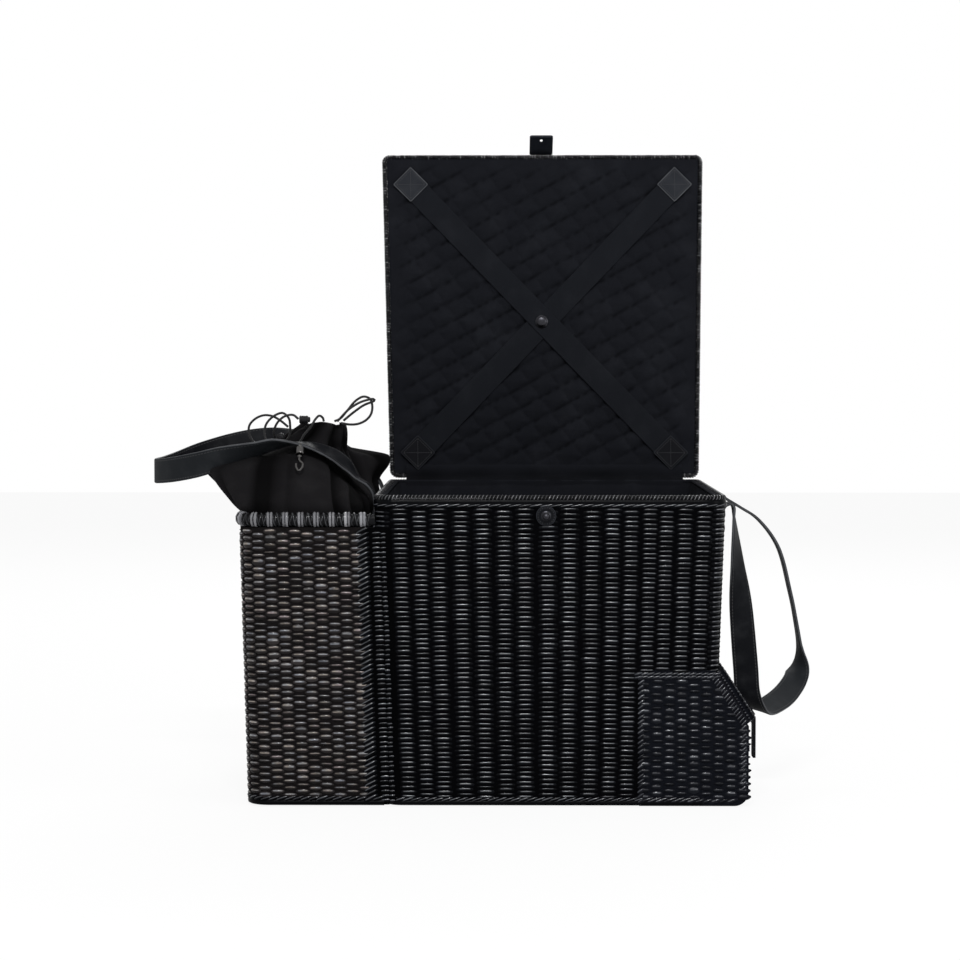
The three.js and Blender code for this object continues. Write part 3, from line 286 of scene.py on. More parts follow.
class Paint(Tree):
    """A material in the making: one Principled shader and the nodes that feed it."""

    def __init__(self, name: str) -> None:
        """Starts an empty material."""
        self.material = bpy.data.materials.new(name)
        super().__init__(self.material)
        self.shader = self.tree.nodes.new("ShaderNodeBsdfPrincipled")
        self.output = self.tree.nodes.new("ShaderNodeOutputMaterial")
        self.tree.links.new(self.shader.outputs[0], self.output.inputs[0])

    def place(self) -> Sock:
        """Gives the surface point's place, in metres."""
        return self.node("ShaderNodeTexCoord", output="Object")

    def value(self, name: str) -> Sock:
        """Reads a painted number of the mesh."""
        return self.node("ShaderNodeAttribute", {"attribute_name": name}, output="Fac")

    def vector(self, name: str) -> Sock:
        """Reads a painted vector of the mesh."""
        return self.node("ShaderNodeAttribute", {"attribute_name": name}, output="Vector")

    def part(self, vector: Sock, axis: int) -> Sock:
        """Takes one number out of a vector."""
        return self.node("ShaderNodeSeparateXYZ", inputs={0: vector}, output=axis)

    def stretch(self, vector: Sock, scale: Spot) -> Sock:
        """Scales a vector along its axes."""
        return self.node("ShaderNodeVectorMath", {"operation": "MULTIPLY"}, {0: vector, 1: scale})

    def noise(self, vector: Sock, scale: float, detail: float = 3.0, rough: float = 0.55) -> Sock:
        """Adds soft noise about 0.5, with finer layers of a given strength."""
        inputs = {"Vector": vector, "Scale": scale, "Detail": detail, "Roughness": rough}
        return self.node("ShaderNodeTexNoise", inputs=inputs)

    def cells(self, vector: Sock, scale: float) -> Sock:
        """Adds pebbled cells, 0 at each cell's middle."""
        return self.node("ShaderNodeTexVoronoi", inputs={"Vector": vector, "Scale": scale})

    def ramp(self, value: Sock, stops: Sequence[tuple[float, Colour]]) -> Sock:
        """Maps a value to colours."""
        return self.node("ShaderNodeValToRGB", {"stops": stops}, {0: value})

    def mix(self, share: Value, first: Input, second: Input) -> Sock:
        """Mixes two colours, by how much there is of the second."""
        inputs = {0: share, 6: first, 7: second}
        return self.node("ShaderNodeMix", {"data_type": "RGBA"}, inputs, output=2)

    def bump(self, height: Sock, distance: float, strength: float = 1.0) -> Sock:
        """Turns a height into a bent normal, for a height of 1 at a distance in metres."""
        inputs = {"Height": height, "Distance": distance, "Strength": strength}
        return self.node("ShaderNodeBump", inputs=inputs)

    def done(self, **sockets: Input) -> Material:
        """Sets the shader's sockets, with _ for a space in a socket's name."""
        self.put(self.shader, {name.replace("_", " "): value for name, value in sockets.items()})
        return self.material


# Finishes


@dataclass(frozen=True)
class Wicker:
    """Dyed paper-cord strands, each with its own tone, fine fibres and a waxed crown that carries a painted
    highlight.
    """

    name: str
    tones: tuple[Colour, ...]
    crown: tuple[Colour, ...]
    reach: float = 6.5
    lit: float = 0.42
    wax: float = 0.9
    painted_glint: float = 0.6
    rare: float = 1.0
    roughness: float = 0.3
    shine: float = 0.035

    @staticmethod
    def spread(colours: Sequence[Colour]) -> list[tuple[float, Colour]]:
        """Spaces colours evenly over a ramp."""
        return [(place / (len(colours) - 1), colour) for place, colour in enumerate(colours)]

    def build(self) -> Material:
        """Makes the strands' material."""
        paint = Paint(self.name)
        fibre = paint.vector("fibre")
        tint = paint.value("tint")
        along, across = abs(paint.part(fibre, 0)), paint.part(fibre, 1)
        streak = paint.noise(paint.stretch(fibre, (0.09, 2.2, 1.0)), 2.4, 3.0, 0.6)
        patch = paint.noise(paint.place(), 38.0, 2.0)
        hue = paint.noise(paint.place(), 61.0, 1.0)
        tone = (tint * 0.72 + patch * 0.34 + streak * 0.16 - 0.11).between(0.0, 1.0)
        # Painted highlight: a pale streak along the upper side of each strand's crown, where the key lamp's
        # reflection falls; the same mask lays the real glossy coat there
        crown = 1.0 - abs(across - self.lit).between(0.1, 0.4)
        crown = crown * (1.0 - along.between(self.reach * 0.72, self.reach))
        crown = crown * (streak * 2.4 - 0.55) * (0.4 + tint * 1.1) ** self.rare
        # The painted highlight's cool, cream and pink tints
        pale = paint.ramp((hue - 0.5) * 2.6 + 0.5, self.spread(self.crown))
        colour = paint.mix(crown * self.painted_glint, paint.ramp(tone, self.spread(self.tones)), pale)
        rough = self.roughness + (streak - 0.5) * 0.22 + (patch - 0.5) * 0.3
        normal = paint.bump(streak, 0.0004, 0.6)
        paint.put(paint.shader, {"Specular IOR Level": self.shine, "Coat Roughness": 0.16})
        wax = crown * self.wax
        return paint.done(Base_Color=colour, Roughness=rough, Coat_Weight=wax, Normal=normal)


@dataclass(frozen=True)
class Board:
    """The dark ground behind the strands; its dark colour is painted shade for the deep gaps between them.
    """

    name: str
    colour: Colour = (0.0004, 0.0004, 0.0006)
    painted_shade_from: Optional[float] = None

    def build(self) -> Material:
        """Makes the ground's material."""
        paint = Paint(self.name)
        spot = paint.place()
        grain = paint.noise(spot, 420.0, 3.0)
        colour = paint.mix(grain, self.colour, tuple(3.0 * part for part in self.colour))
        # Painted shade: past this place the ground turns near-black, next to the box's side
        if self.painted_shade_from is not None:
            painted_shade = (paint.part(spot, 0) / MM).between(self.painted_shade_from, self.painted_shade_from + 2.0)
            colour = paint.mix(painted_shade, colour, Board.colour)
        paint.put(paint.shader, {"Specular IOR Level": 0.02})
        return paint.done(Base_Color=colour, Roughness=0.85, Normal=paint.bump(grain, 0.0003))


@dataclass(frozen=True)
class Leather:
    """Smooth dyed leather with a fine grain, a paler flesh side and paler edges, partly raw-edge wear and
    partly a painted highlight.
    """

    name: str
    face: Colour = (0.0034, 0.0038, 0.0048)
    flesh: Colour = (0.011, 0.0125, 0.0145)
    edge: Colour = (0.09, 0.093, 0.1)
    roughness: float = 0.5
    shine: float = 0.12
    stitched: bool = False

    def build(self) -> Material:
        """Makes the leather's material."""
        paint = Paint(self.name)
        spot = paint.place()
        run = paint.vector("fibre")
        along = paint.part(run, 0)
        across = abs(paint.part(run, 1))
        side = paint.part(run, 2)
        pebble = paint.cells(spot, 900.0)
        cloud = paint.noise(spot, 60.0, 4.0)
        ground = paint.mix(side, self.face, self.flesh)
        ground = paint.mix((cloud - 0.4).between(0.0, 0.5) * 0.12, ground, self.edge)
        # Paler edges: partly real raw-edge wear, partly a painted highlight line along them
        painted_glint = across.between(0.93, 0.995) * (0.2 + cloud * 0.9)
        ground = paint.mix(painted_glint, ground, self.edge)
        height = pebble * 0.35 + cloud * 0.3
        if self.stitched:
            seam = 1.0 - abs(across - 0.8).between(0.015, 0.05)
            thread = seam * (1.0 - abs((along / 3.4).cycle() - 0.5).between(0.3, 0.4))
            ground = paint.mix(thread * 0.7, ground, (0.05, 0.05, 0.052))
            height = height - seam * 0.6 + thread * 1.1
        rough = self.roughness + side * 0.2 + (cloud - 0.5) * 0.22
        paint.put(paint.shader, {"Specular IOR Level": self.shine})
        return paint.done(Base_Color=ground, Roughness=rough, Normal=paint.bump(height, 0.00022))


class Thread(Enum):
    """How a cloth's threads run."""

    PLAIN = "plain"
    RIBBED = "ribbed"


@dataclass(frozen=True)
class Cloth:
    """Woven cloth, plain or ribbed like webbing; plain cloth carries painted shade in its folds and seams.
    """

    name: str
    colour: Colour
    light: Colour
    thread: Thread = Thread.PLAIN
    pitch: float = 0.55
    roughness: float = 0.9
    sheen: float = 0.004

    def build(self) -> Material:
        """Makes the cloth's material."""
        paint = Paint(self.name)
        spot = paint.place()
        turn = 2.0 * math.pi / (self.pitch * MM)
        if self.thread is Thread.RIBBED:
            run = paint.vector("fibre")
            warp = (paint.part(run, 1) * 40.0).sine()
            weft = (paint.part(run, 0) * 5.2).sine()
            height = warp * 0.25 + weft * 0.35 + 0.5
        else:
            across = (paint.part(spot, 0) * turn).sine()
            up = (paint.part(spot, 2) * turn).sine()
            deep = (paint.part(spot, 1) * turn).sine()
            height = (across * up + across * deep + up * deep) * 0.2 + 0.5
        cloud = paint.noise(spot, 30.0, 5.0)
        lint = paint.noise(spot, 900.0, 2.0)
        share = (cloud - 0.35).between(0.0, 0.4) * 0.5 + (lint - 0.5) * 0.5 + (height - 0.5) * 0.35
        colour = paint.mix(share.between(0.0, 1.0), self.colour, self.light)
        if self.thread is Thread.PLAIN:
            # Painted shade: the fibre's third value darkens the cloth where it folds or is quilted
            fold_shade = paint.part(paint.vector("fibre"), 2)
            colour = paint.mix(fold_shade, colour, tuple(0.15 * part for part in self.colour))
        inputs = {"Specular IOR Level": 0.02, "Sheen Weight": self.sheen, "Sheen Roughness": 0.6}
        paint.put(paint.shader, inputs)
        normal = paint.bump(height + lint * 0.5, 0.00012)
        return paint.done(Base_Color=colour, Roughness=self.roughness, Normal=normal)


@dataclass(frozen=True)
class Yarn:
    """A round braided cord's cover."""

    name: str
    colour: Colour = (0.005, 0.005, 0.0055)
    light: Colour = (0.02, 0.02, 0.021)

    def build(self) -> Material:
        """Makes the cord's material."""
        paint = Paint(self.name)
        spot = paint.stretch(paint.place(), (1.0, 1.0, 1.4))
        braid = paint.cells(spot, 1300.0)
        lint = paint.noise(spot, 1500.0, 2.0)
        colour = paint.mix((1.0 - braid) * 0.5 + lint * 0.2, self.colour, self.light)
        paint.put(paint.shader, {"Specular IOR Level": 0.25, "Sheen Weight": 0.05})
        return paint.done(Base_Color=colour, Roughness=0.6, Normal=paint.bump(1.0 - braid, 0.0003))


@dataclass(frozen=True)
class Metal:
    """Plated metal with fine rub marks."""

    name: str
    colour: Colour
    roughness: float = 0.3

    def build(self) -> Material:
        """Makes the metal's material."""
        paint = Paint(self.name)
        spot = paint.place()
        cloud = paint.noise(spot, 160.0, 4.0)
        rub = paint.noise(paint.stretch(spot, (1.0, 1.0, 9.0)), 700.0, 2.0)
        dark = tuple(0.6 * part for part in self.colour)
        colour = paint.mix((cloud - 0.45).between(0.0, 0.3) * 0.6, self.colour, dark)
        rough = self.roughness + (rub - 0.5) * 0.2 + (cloud - 0.5) * 0.14
        normal = paint.bump(rub, 0.00004)
        return paint.done(Base_Color=colour, Metallic=1.0, Roughness=rough, Normal=normal)


@dataclass(frozen=True)
class Moulded:
    """Moulded plastic with a satin face."""

    name: str
    colour: Colour = (0.008, 0.008, 0.009)
    light: Colour = (0.02, 0.02, 0.022)

    def build(self) -> Material:
        """Makes the plastic's material."""
        paint = Paint(self.name)
        grain = paint.noise(paint.place(), 1500.0, 2.0)
        cloud = paint.noise(paint.place(), 220.0, 3.0)
        colour = paint.mix((cloud - 0.4).between(0.0, 0.4) * 0.6, self.colour, self.light)
        rough = 0.42 + (cloud - 0.5) * 0.2
        paint.put(paint.shader, {"Specular IOR Level": 0.12})
        return paint.done(Base_Color=colour, Roughness=rough, Normal=paint.bump(grain, 0.00003))


@dataclass(frozen=True)
class Finishes:
    """Every material of the basket, built once."""

    wicker: Material
    warm_wicker: Material
    pocket_wicker: Material
    wrap: Material
    lid_wrap: Material
    tie: Material
    braid: Material
    board: Material
    bottle_board: Material
    pocket_board: Material
    strap: Material
    stud_leather: Material
    leather: Material
    lining: Material
    bag: Material
    webbing: Material
    yarn: Material
    metal: Material
    dark_metal: Material
    plastic: Material
    thread: Material

    @staticmethod
    def build() -> "Finishes":
        """Builds all the materials.

        Returns:
            The materials, by the place they are used in.
        """
        black = ((0.0006, 0.0007, 0.001), (0.0017, 0.002, 0.0029), (0.0038, 0.0043, 0.0058))
        pocket = ((0.0028, 0.0031, 0.0044), (0.0062, 0.0068, 0.0095), (0.011, 0.012, 0.0155))
        warm = ((0.0055, 0.0047, 0.0049), (0.0155, 0.0132, 0.0134), (0.034, 0.0292, 0.0298))
        # Colours of the painted highlights on the strands' crowns
        cool_glint = ((0.1, 0.105, 0.12), (0.15, 0.155, 0.17), (0.12, 0.13, 0.15))
        pale_glint = ((0.2, 0.205, 0.22), (0.3, 0.3, 0.31), (0.24, 0.23, 0.25))
        warm_glint = ((0.16, 0.17, 0.2), (0.24, 0.24, 0.25), (0.26, 0.225, 0.19), (0.25, 0.2, 0.205))
        wrap = ((0.002, 0.002, 0.0024), (0.005, 0.0053, 0.006), (0.012, 0.0125, 0.0145))
        grey = ((0.005, 0.005, 0.0057), (0.0115, 0.0117, 0.0127), (0.023, 0.0234, 0.025))
        tie = ((0.05, 0.05, 0.056), (0.17, 0.172, 0.186), (0.34, 0.342, 0.36))
        return Finishes(
            wicker=Wicker("black_wicker", black, cool_glint).build(),
            warm_wicker=Wicker(
                "warm_wicker", warm, warm_glint, 5.4, 0.34, painted_glint=0.95, rare=1.3, shine=0.08
            ).build(),
            pocket_wicker=Wicker(
                "pocket_wicker", pocket, cool_glint, 4.2, 0.42, 0.75, 0.45, rare=2.2
            ).build(),
            wrap=Wicker("rim_wrap", wrap, pale_glint, 99.0, 0.0, painted_glint=0.55).build(),
            lid_wrap=Wicker("lid_wrap", black, pale_glint, 99.0, 0.0, 0.4, 0.8, rare=5.0).build(),
            braid=Wicker("rim_braid", grey, cool_glint, 99.0, 0.0, painted_glint=0.35).build(),
            tie=Wicker("rim_tie", tie, warm_glint, 99.0, 0.0, 0.5, 0.3, shine=0.2).build(),
            # Grounds behind the strands, their dark colours painted shade for the gaps; the bottle's turns
            # black past -186 mm as painted shade
            board=Board("wicker_ground").build(),
            bottle_board=Board("bottle_ground", (0.0032, 0.0028, 0.0029), -186.0).build(),
            pocket_board=Board("pocket_ground", (0.0022, 0.0025, 0.0036)).build(),
            strap=Leather("strap_leather", (0.0026, 0.003, 0.0042), shine=0.05, stitched=True).build(),
            stud_leather=Leather(
                "stud_leather", (0.0064, 0.0068, 0.0084), edge=(0.026, 0.028, 0.033), shine=0.03
            ).build(),
            leather=Leather("patch_leather", (0.0085, 0.0102, 0.0142), roughness=0.55).build(),
            lining=Cloth("lining_cloth", (0.0078, 0.0084, 0.0108), (0.0142, 0.0152, 0.0188)).build(),
            bag=Cloth("bag_cloth", (0.0082, 0.0078, 0.0086), (0.0172, 0.0168, 0.0176)).build(),
            webbing=Cloth(
                "cotton_webbing", (0.0086, 0.0094, 0.0118), (0.0142, 0.0152, 0.0184), Thread.RIBBED
            ).build(),
            yarn=Yarn("braided_cord").build(),
            metal=Metal("nickel", (0.085, 0.082, 0.08)).build(),
            dark_metal=Metal("gunmetal", (0.035, 0.035, 0.04)).build(),
            plastic=Moulded("lock_plastic").build(),
            thread=Yarn("sewing_thread", (0.012, 0.012, 0.014), (0.05, 0.05, 0.055)).build(),
        )


# Meshes


def linked(name: str, data: bpy.types.ID) -> bpy.types.Object:
    """Makes an object and puts it in the scene."""
    made = bpy.data.objects.new(name, data)
    bpy.context.scene.collection.objects.link(made)
    return made


def joined(*parts: Reals) -> Array:
    """Makes points, or painted vectors, from numbers and arrays for their coordinates."""
    return np.stack(np.broadcast_arrays(*parts), axis=-1)


class Skin:
    """Gathers points, faces and painted values, in millimetres, and makes them one piece."""

    def __init__(self) -> None:
        """Starts with nothing."""
        self.points: list[Array] = []
        self.faces: list[Array] = []
        self.tints: list[Array] = []
        self.fibres: list[Array] = []
        self.count = 0

    def add(
        self,
        points: Array,
        faces: Array,
        tint: Reals = 0.5,
        fibre: Optional[Array] = None,
    ) -> None:
        """Adds a stretch of surface.

        Args:
            points: Its points.
            faces: Its faces, rows of point numbers.
            tint: Its tone, one or one a point.
            fibre: Along, across and side at each point, where a finish reads them.
        """
        points = np.asarray(points, float).reshape(-1, 3)
        self.points.append(points)
        self.faces.append(np.asarray(faces) + self.count)
        self.tints.append(np.broadcast_to(np.asarray(tint, float).ravel(), (len(points),)))
        blank = np.zeros((len(points), 3))
        self.fibres.append(blank if fibre is None else np.asarray(fibre, float).reshape(-1, 3))
        self.count += len(points)

    def grid(
        self,
        points: Array,
        wrap: bool = False,
        tint: Reals = 0.5,
        fibre: Optional[Array] = None,
        loop: bool = False,
    ) -> None:
        """Adds a surface from rows of points.

        Args:
            points: Rows, columns and coordinates.
            wrap: True if the last column joins the first.
            tint: Its tone.
            fibre: Along, across and side at each point.
            loop: True if the last row joins the first.
        """
        rows, columns = points.shape[:2]
        index = np.arange(rows * columns).reshape(rows, columns)
        if wrap:
            index = np.hstack([index, index[:, :1]])
        if loop:
            index = np.vstack([index, index[:1]])
        faces = np.stack([index[:-1, :-1], index[:-1, 1:], index[1:, 1:], index[1:, :-1]], axis=-1)
        self.add(points, faces.reshape(-1, 4), tint, fibre)

    def cap(self, ring: Array, centre: Array, flip: bool = False) -> None:
        """Closes a ring of points with a fan.

        Args:
            ring: The ring's points, in order.
            centre: The fan's middle.
            flip: True to face the other way.
        """
        count = len(ring)
        index = np.arange(count)
        faces = np.stack([index, np.roll(index, -1), np.full(count, count)], axis=1)
        fibre = np.zeros((count + 1, 3))
        fibre[:count, 1] = 1.0
        self.add(np.vstack([ring, centre[None]]), faces[:, ::-1] if flip else faces, fibre=fibre)

    def piece(
        self,
        name: str,
        material: Material,
        body: Optional[str],
        slot: Optional[str] = None,
        replaces: Sequence[str] = (),
    ) -> bpy.types.Object:
        """Makes the piece and puts it in the scene.

        Args:
            name: The piece's name.
            material: Its finish.
            body: The CAD body it rides on, or None to leave it unattached.
            slot: Not used.
            replaces: The CAD nodes it stands for.

        Returns:
            The piece.
        """
        mesh = bpy.data.meshes.new(name)
        points = np.vstack(self.points) * MM
        corners = [faces.shape[1] for faces in self.faces for _ in range(len(faces))]
        loops = np.concatenate([faces.ravel() for faces in self.faces])
        starts = np.concatenate([[0], np.cumsum(corners)[:-1]])
        mesh.vertices.add(len(points))
        mesh.loops.add(len(loops))
        mesh.polygons.add(len(starts))
        mesh.vertices.foreach_set("co", points.ravel())
        mesh.loops.foreach_set("vertex_index", loops.astype(np.int32))
        mesh.polygons.foreach_set("loop_start", starts.astype(np.int32))
        mesh.polygons.foreach_set("use_smooth", np.ones(len(starts), bool))
        tints = mesh.attributes.new("tint", "FLOAT", "POINT")
        tints.data.foreach_set("value", np.concatenate(self.tints))
        fibres = mesh.attributes.new("fibre", "FLOAT_VECTOR", "POINT")
        fibres.data.foreach_set("vector", np.vstack(self.fibres).ravel())
        mesh.update(calc_edges=True)
        mesh.validate()
        mesh.materials.append(material)
        piece = linked(name, mesh)
        if replaces:
            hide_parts(*replaces)
        if body is not None:
            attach(piece, body)
        LOG.info("%s has %d faces", name, len(starts))
        return piece


def turned(
    skin: Skin,
    profile: Sequence[tuple[float, float]],
    centre: Spot,
    axis: Spot,
    sides: int = 36,
) -> None:
    """Adds a turned form, closed at both ends.

    Args:
        skin: Where it is added.
        profile: Radius and distance along the axis of each ring.
        centre: The axis's start.
        axis: The axis's direction.
        sides: How many points a ring has.
    """
    forward = unit(np.array(axis, float))
    aside = unit(np.cross(forward, (0.31, 0.52, 0.8)))
    other = np.cross(forward, aside)
    turn = np.linspace(0.0, 2.0 * math.pi, sides, endpoint=False)
    rim = np.cos(turn)[:, None] * aside + np.sin(turn)[:, None] * other
    middle = np.array(centre, float)
    rings = np.stack([middle + forward * far + rim * radius for radius, far in profile])
    skin.grid(rings, wrap=True)
    skin.cap(rings[0], middle + forward * profile[0][1], flip=True)
    skin.cap(rings[-1], middle + forward * profile[-1][1])


def band(skin: Skin, path: Array, across: Array, width: float, thick: float) -> None:
    """Adds a flat strap with rounded edges along a path, closed at both ends.

    Args:
        skin: Where it is added.
        path: The path's points.
        across: The direction across the strap at each point.
        width: The strap's width.
        thick: The strap's thickness.
    """
    along = unit(np.gradient(path, axis=0))
    side = unit(across - along * np.sum(across * along, axis=1, keepdims=True))
    out = np.cross(along, side)
    half, deep = width / 2.0, thick / 2.0
    edge = [(half - deep * (1.0 - math.sin(a)), deep * math.cos(a)) for a in np.linspace(0.3, 2.84, 5)]
    flat = [(x, deep) for x in np.linspace(-half + deep, half - deep, 7)]
    section = flat + edge
    section += [(-x, -y) for x, y in flat] + [(-x, -y) for x, y in edge]
    shape = np.array(section)
    rings = path[:, None] + side[:, None] * shape[None, :, :1] + out[:, None] * shape[None, :, 1:]
    run = np.concatenate([[0.0], np.cumsum(np.linalg.norm(np.diff(path, axis=0), axis=1))])
    fibre = joined(run[:, None], shape[None, :, 0] / half, shape[None, :, 1] < 0)
    skin.grid(rings, wrap=True, fibre=fibre)
    skin.cap(rings[0], path[0])
    skin.cap(rings[-1], path[-1], flip=True)


# Woven walls


@dataclass(frozen=True)
class Wall:
    """A wall that follows corners round a compartment and leans as it rises."""

    foot: tuple[tuple[float, float], ...]
    brim: tuple[tuple[float, float], ...]
    height: float
    corner: float
    closed: bool = True

    def legs(self, share: Array) -> list[tuple[Array, Array]]:
        """Gives both ends of each straight leg at a share of the height.

        Args:
            share: The shares of the height.

        Returns:
            The ends of each leg, corners taken off.
        """
        foot, brim = np.array(self.foot, float), np.array(self.brim, float)
        spots = foot + (brim - foot) * share[..., None, None]
        count = len(foot)
        last = count if self.closed else count - 1
        ends = []
        for leg in range(last):
            start, stop = spots[..., leg, :], spots[..., (leg + 1) % count, :]
            along = unit(stop - start) * self.corner
            first = start + along if self.closed or leg > 0 else start
            final = stop - along if self.closed or leg < last - 1 else stop
            ends.append((first, final))
        return ends

    def breaks(self) -> Array:
        """Gives the distances at which legs and corners end, measured at half height."""
        lengths = []
        for first, final in self.legs(np.array(0.5)):
            lengths += [float(np.linalg.norm(final - first)), self.corner * math.pi / 2.0]
        return np.cumsum([0.0] + (lengths if self.closed else lengths[:-1]))

    def place(self, along: Array, up: Array, out: Array) -> Array:
        """Gives points on or off the wall.

        Args:
            along: Distances along the wall.
            up: Heights.
            out: Distances out from the wall.

        Returns:
            The points.
        """
        along, up, out = (np.array(part, float) for part in np.broadcast_arrays(along, up, out))
        share = up / self.height
        breaks = self.breaks()
        if self.closed:
            along = np.mod(along, breaks[-1])
        ends = self.legs(share)
        flat = np.zeros(along.shape + (2,))
        for index, (first, final) in enumerate(ends):
            start, stop = breaks[2 * index], breaks[2 * index + 1]
            low = -math.inf if index == 0 else start
            high = math.inf if not self.closed and index == len(ends) - 1 else stop
            here = (along >= low) & (along < high)
            part = ((along - start) / (stop - start))[..., None]
            heading = unit(final - first)
            outward = joined(heading[..., 1], -heading[..., 0])
            line = first + (final - first) * part + outward * out[..., None]
            flat = np.where(here[..., None], line, flat)
            if 2 * index + 2 >= len(breaks):
                continue
            finish = breaks[2 * index + 2]
            here = (along >= stop) & (along < finish)
            turn = ((along - stop) / (finish - stop) * math.pi / 2.0)[..., None]
            centre = final - outward * self.corner
            reach = self.corner + out[..., None]
            arc = centre + reach * (outward * np.cos(turn) + heading * np.sin(turn))
            flat = np.where(here[..., None], arc, flat)
        return np.concatenate([flat, up[..., None]], axis=-1)

    def bead(self, skin: Skin, even: Array, rows: Sequence[Sequence[float]], tint: float) -> None:
        """Adds the plain ground of a twined row, from its heights and distances out."""
        levels, outs = np.array(rows, float)
        points = self.place(even[:, None], levels[None], outs[None])
        skin.grid(points[:, ::-1], tint=tint)


def four_corners(left: float, right: float, half: float) -> tuple[tuple[float, float], ...]:
    """Lists a compartment's four corners from above, its front left one first."""
    return ((left, -half), (right, -half), (right, half), (left, half))


@dataclass(frozen=True)
class Panel:
    """A flat face to weave on: a start and its two directions."""

    start: Spot
    along: Spot
    up: Spot

    def place(self, along: Array, up: Array, out: Array) -> Array:
        """Gives points on or off the panel.

        Args:
            along: Distances along it.
            up: Distances up it.
            out: Distances out of it.

        Returns:
            The points.
        """
        along, up, out = np.broadcast_arrays(along, up, out)
        right, rise = np.array(self.along, float), np.array(self.up, float)
        front = np.cross(right, rise)
        spots = np.array(self.start, float) + along[..., None] * right + up[..., None] * rise
        return spots + out[..., None] * front


@dataclass(frozen=True)
class Lay:
    """How strands lie: their size, how they dive at their ends and how uneven they are."""

    half_width: float
    thick: float = 1.0
    dive: float = 1.3
    top: float = 0.0
    fullness: float = 0.6
    steps: int = 7
    uneven: float = 0.12


def strands(
    skin: Skin,
    place: Placer,
    starts: Array,
    ends: Array,
    lay: Lay,
    chance: Chance,
    tone: tuple[float, float] = (0.0, 1.0),
) -> None:
    """Adds strands, each a half round that rises from under its neighbours and dives again.

    Args:
        skin: Where they are added.
        place: The face that they lie on.
        starts: Where each starts, along and up.
        ends: Where each ends.
        lay: How they lie.
        chance: The seeded source of unevenness.
        tone: The least and greatest tone.
    """
    count = len(starts)
    share = np.linspace(0.0, 1.0, lay.steps)
    bulge = np.sin(math.pi * share) ** 0.6
    sides = np.array([-1.0, -0.55, 0.0, 0.55, 1.0]) * math.pi / 2.0
    uneven = 1.0 + lay.uneven * chance.normal(size=(count, 1, 1))
    line = ends - starts
    middle = starts[:, None] + line[:, None] * share[None, :, None]
    heading = unit(line)
    aside = np.stack([-heading[:, 1], heading[:, 0]], axis=1)
    width = lay.half_width * uneven * (1.0 - lay.fullness + lay.fullness * bulge)[None, :, None]
    off = width * np.sin(sides)[None, None]
    along = middle[:, :, None, 0] + aside[:, None, None, 0] * off
    up = middle[:, :, None, 1] + aside[:, None, None, 1] * off
    crown = lay.top - lay.dive * (1.0 - bulge)[None, :, None] - 0.25 * lay.uneven * np.abs(
        chance.normal(size=(count, 1, 1))
    )
    out = crown - lay.thick * (1.0 - np.cos(sides))[None, None]
    points = place(along, up, np.broadcast_to(out, along.shape))
    rows, columns = lay.steps, len(sides)
    index = np.arange(rows * columns).reshape(rows, columns)
    quad = np.stack([index[:-1, :-1], index[1:, :-1], index[1:, 1:], index[:-1, 1:]], axis=-1)
    faces = quad.reshape(-1, 4)[None] + (np.arange(count) * rows * columns)[:, None, None]
    tint = np.clip(chance.beta(2.0, 2.4, size=count), 0.0, 1.0)
    tint = tone[0] + (tone[1] - tone[0]) * tint
    length = np.linalg.norm(line, axis=1)[:, None, None]
    along = (share - 0.5)[None, :, None] * length
    fibre = joined(along, np.sin(sides)[None, None], chance.uniform(0.0, 90.0, size=(count, 1, 1)))
    tints = np.broadcast_to(tint[:, None], (count, rows * columns))
    skin.add(points, faces.reshape(-1, 4), tints, fibre)


@dataclass(frozen=True)
class Weave:
    """A plain weave: the distance between stakes and between rows, and its strands' lay."""

    stake: float
    row: float
    lay: Lay
    reach: float = 0.6

    def cover(
        self,
        skin: Skin,
        place: Placer,
        stakes: Sequence[float],
        low: float,
        high: float,
        chance: Chance,
        keep: Optional[Callable[[Array, Array], Array]] = None,
    ) -> None:
        """Weaves over a face.

        Args:
            skin: Where the strands are added.
            place: The face.
            stakes: Where the stakes stand.
            low: The lowest row's height.
            high: The highest row's height.
            chance: The seeded source of unevenness.
            keep: Says which strands stay, from their middles.
        """
        posts = np.array(stakes, float)
        pitch = np.gradient(posts) if len(posts) > 1 else np.array([self.stake])
        rows = np.arange(low, high, self.row)
        column, level = np.meshgrid(np.arange(len(posts)), np.arange(len(rows)), indexing="ij")
        here = (column + level) % 2 == 0
        column, level = column[here], level[here]
        middle = joined(posts[column], rows[level])
        if keep is not None:
            stays = keep(middle[:, 0], middle[:, 1])
            column, middle = column[stays], middle[stays]
        middle = middle + chance.normal(size=middle.shape) * (0.35, 0.16)
        reach = pitch[column] * self.reach * (1.0 + 0.05 * chance.normal(size=len(column)))
        tilt = 0.12 * chance.normal(size=len(column))
        line = joined(reach, tilt)
        strands(skin, place, middle - line, middle + line, self.lay, chance)


def even_stakes(start: float, stop: float, pitch: float) -> list[float]:
    """Spaces stakes evenly between two places, half a pitch in from each.

    Args:
        start: The first place.
        stop: The last place.
        pitch: About how far apart they are.

    Returns:
        The stakes' places.
    """
    count = max(1, round((stop - start) / pitch))
    step = (stop - start) / count
    return [start + step * (index + 0.5) for index in range(count)]


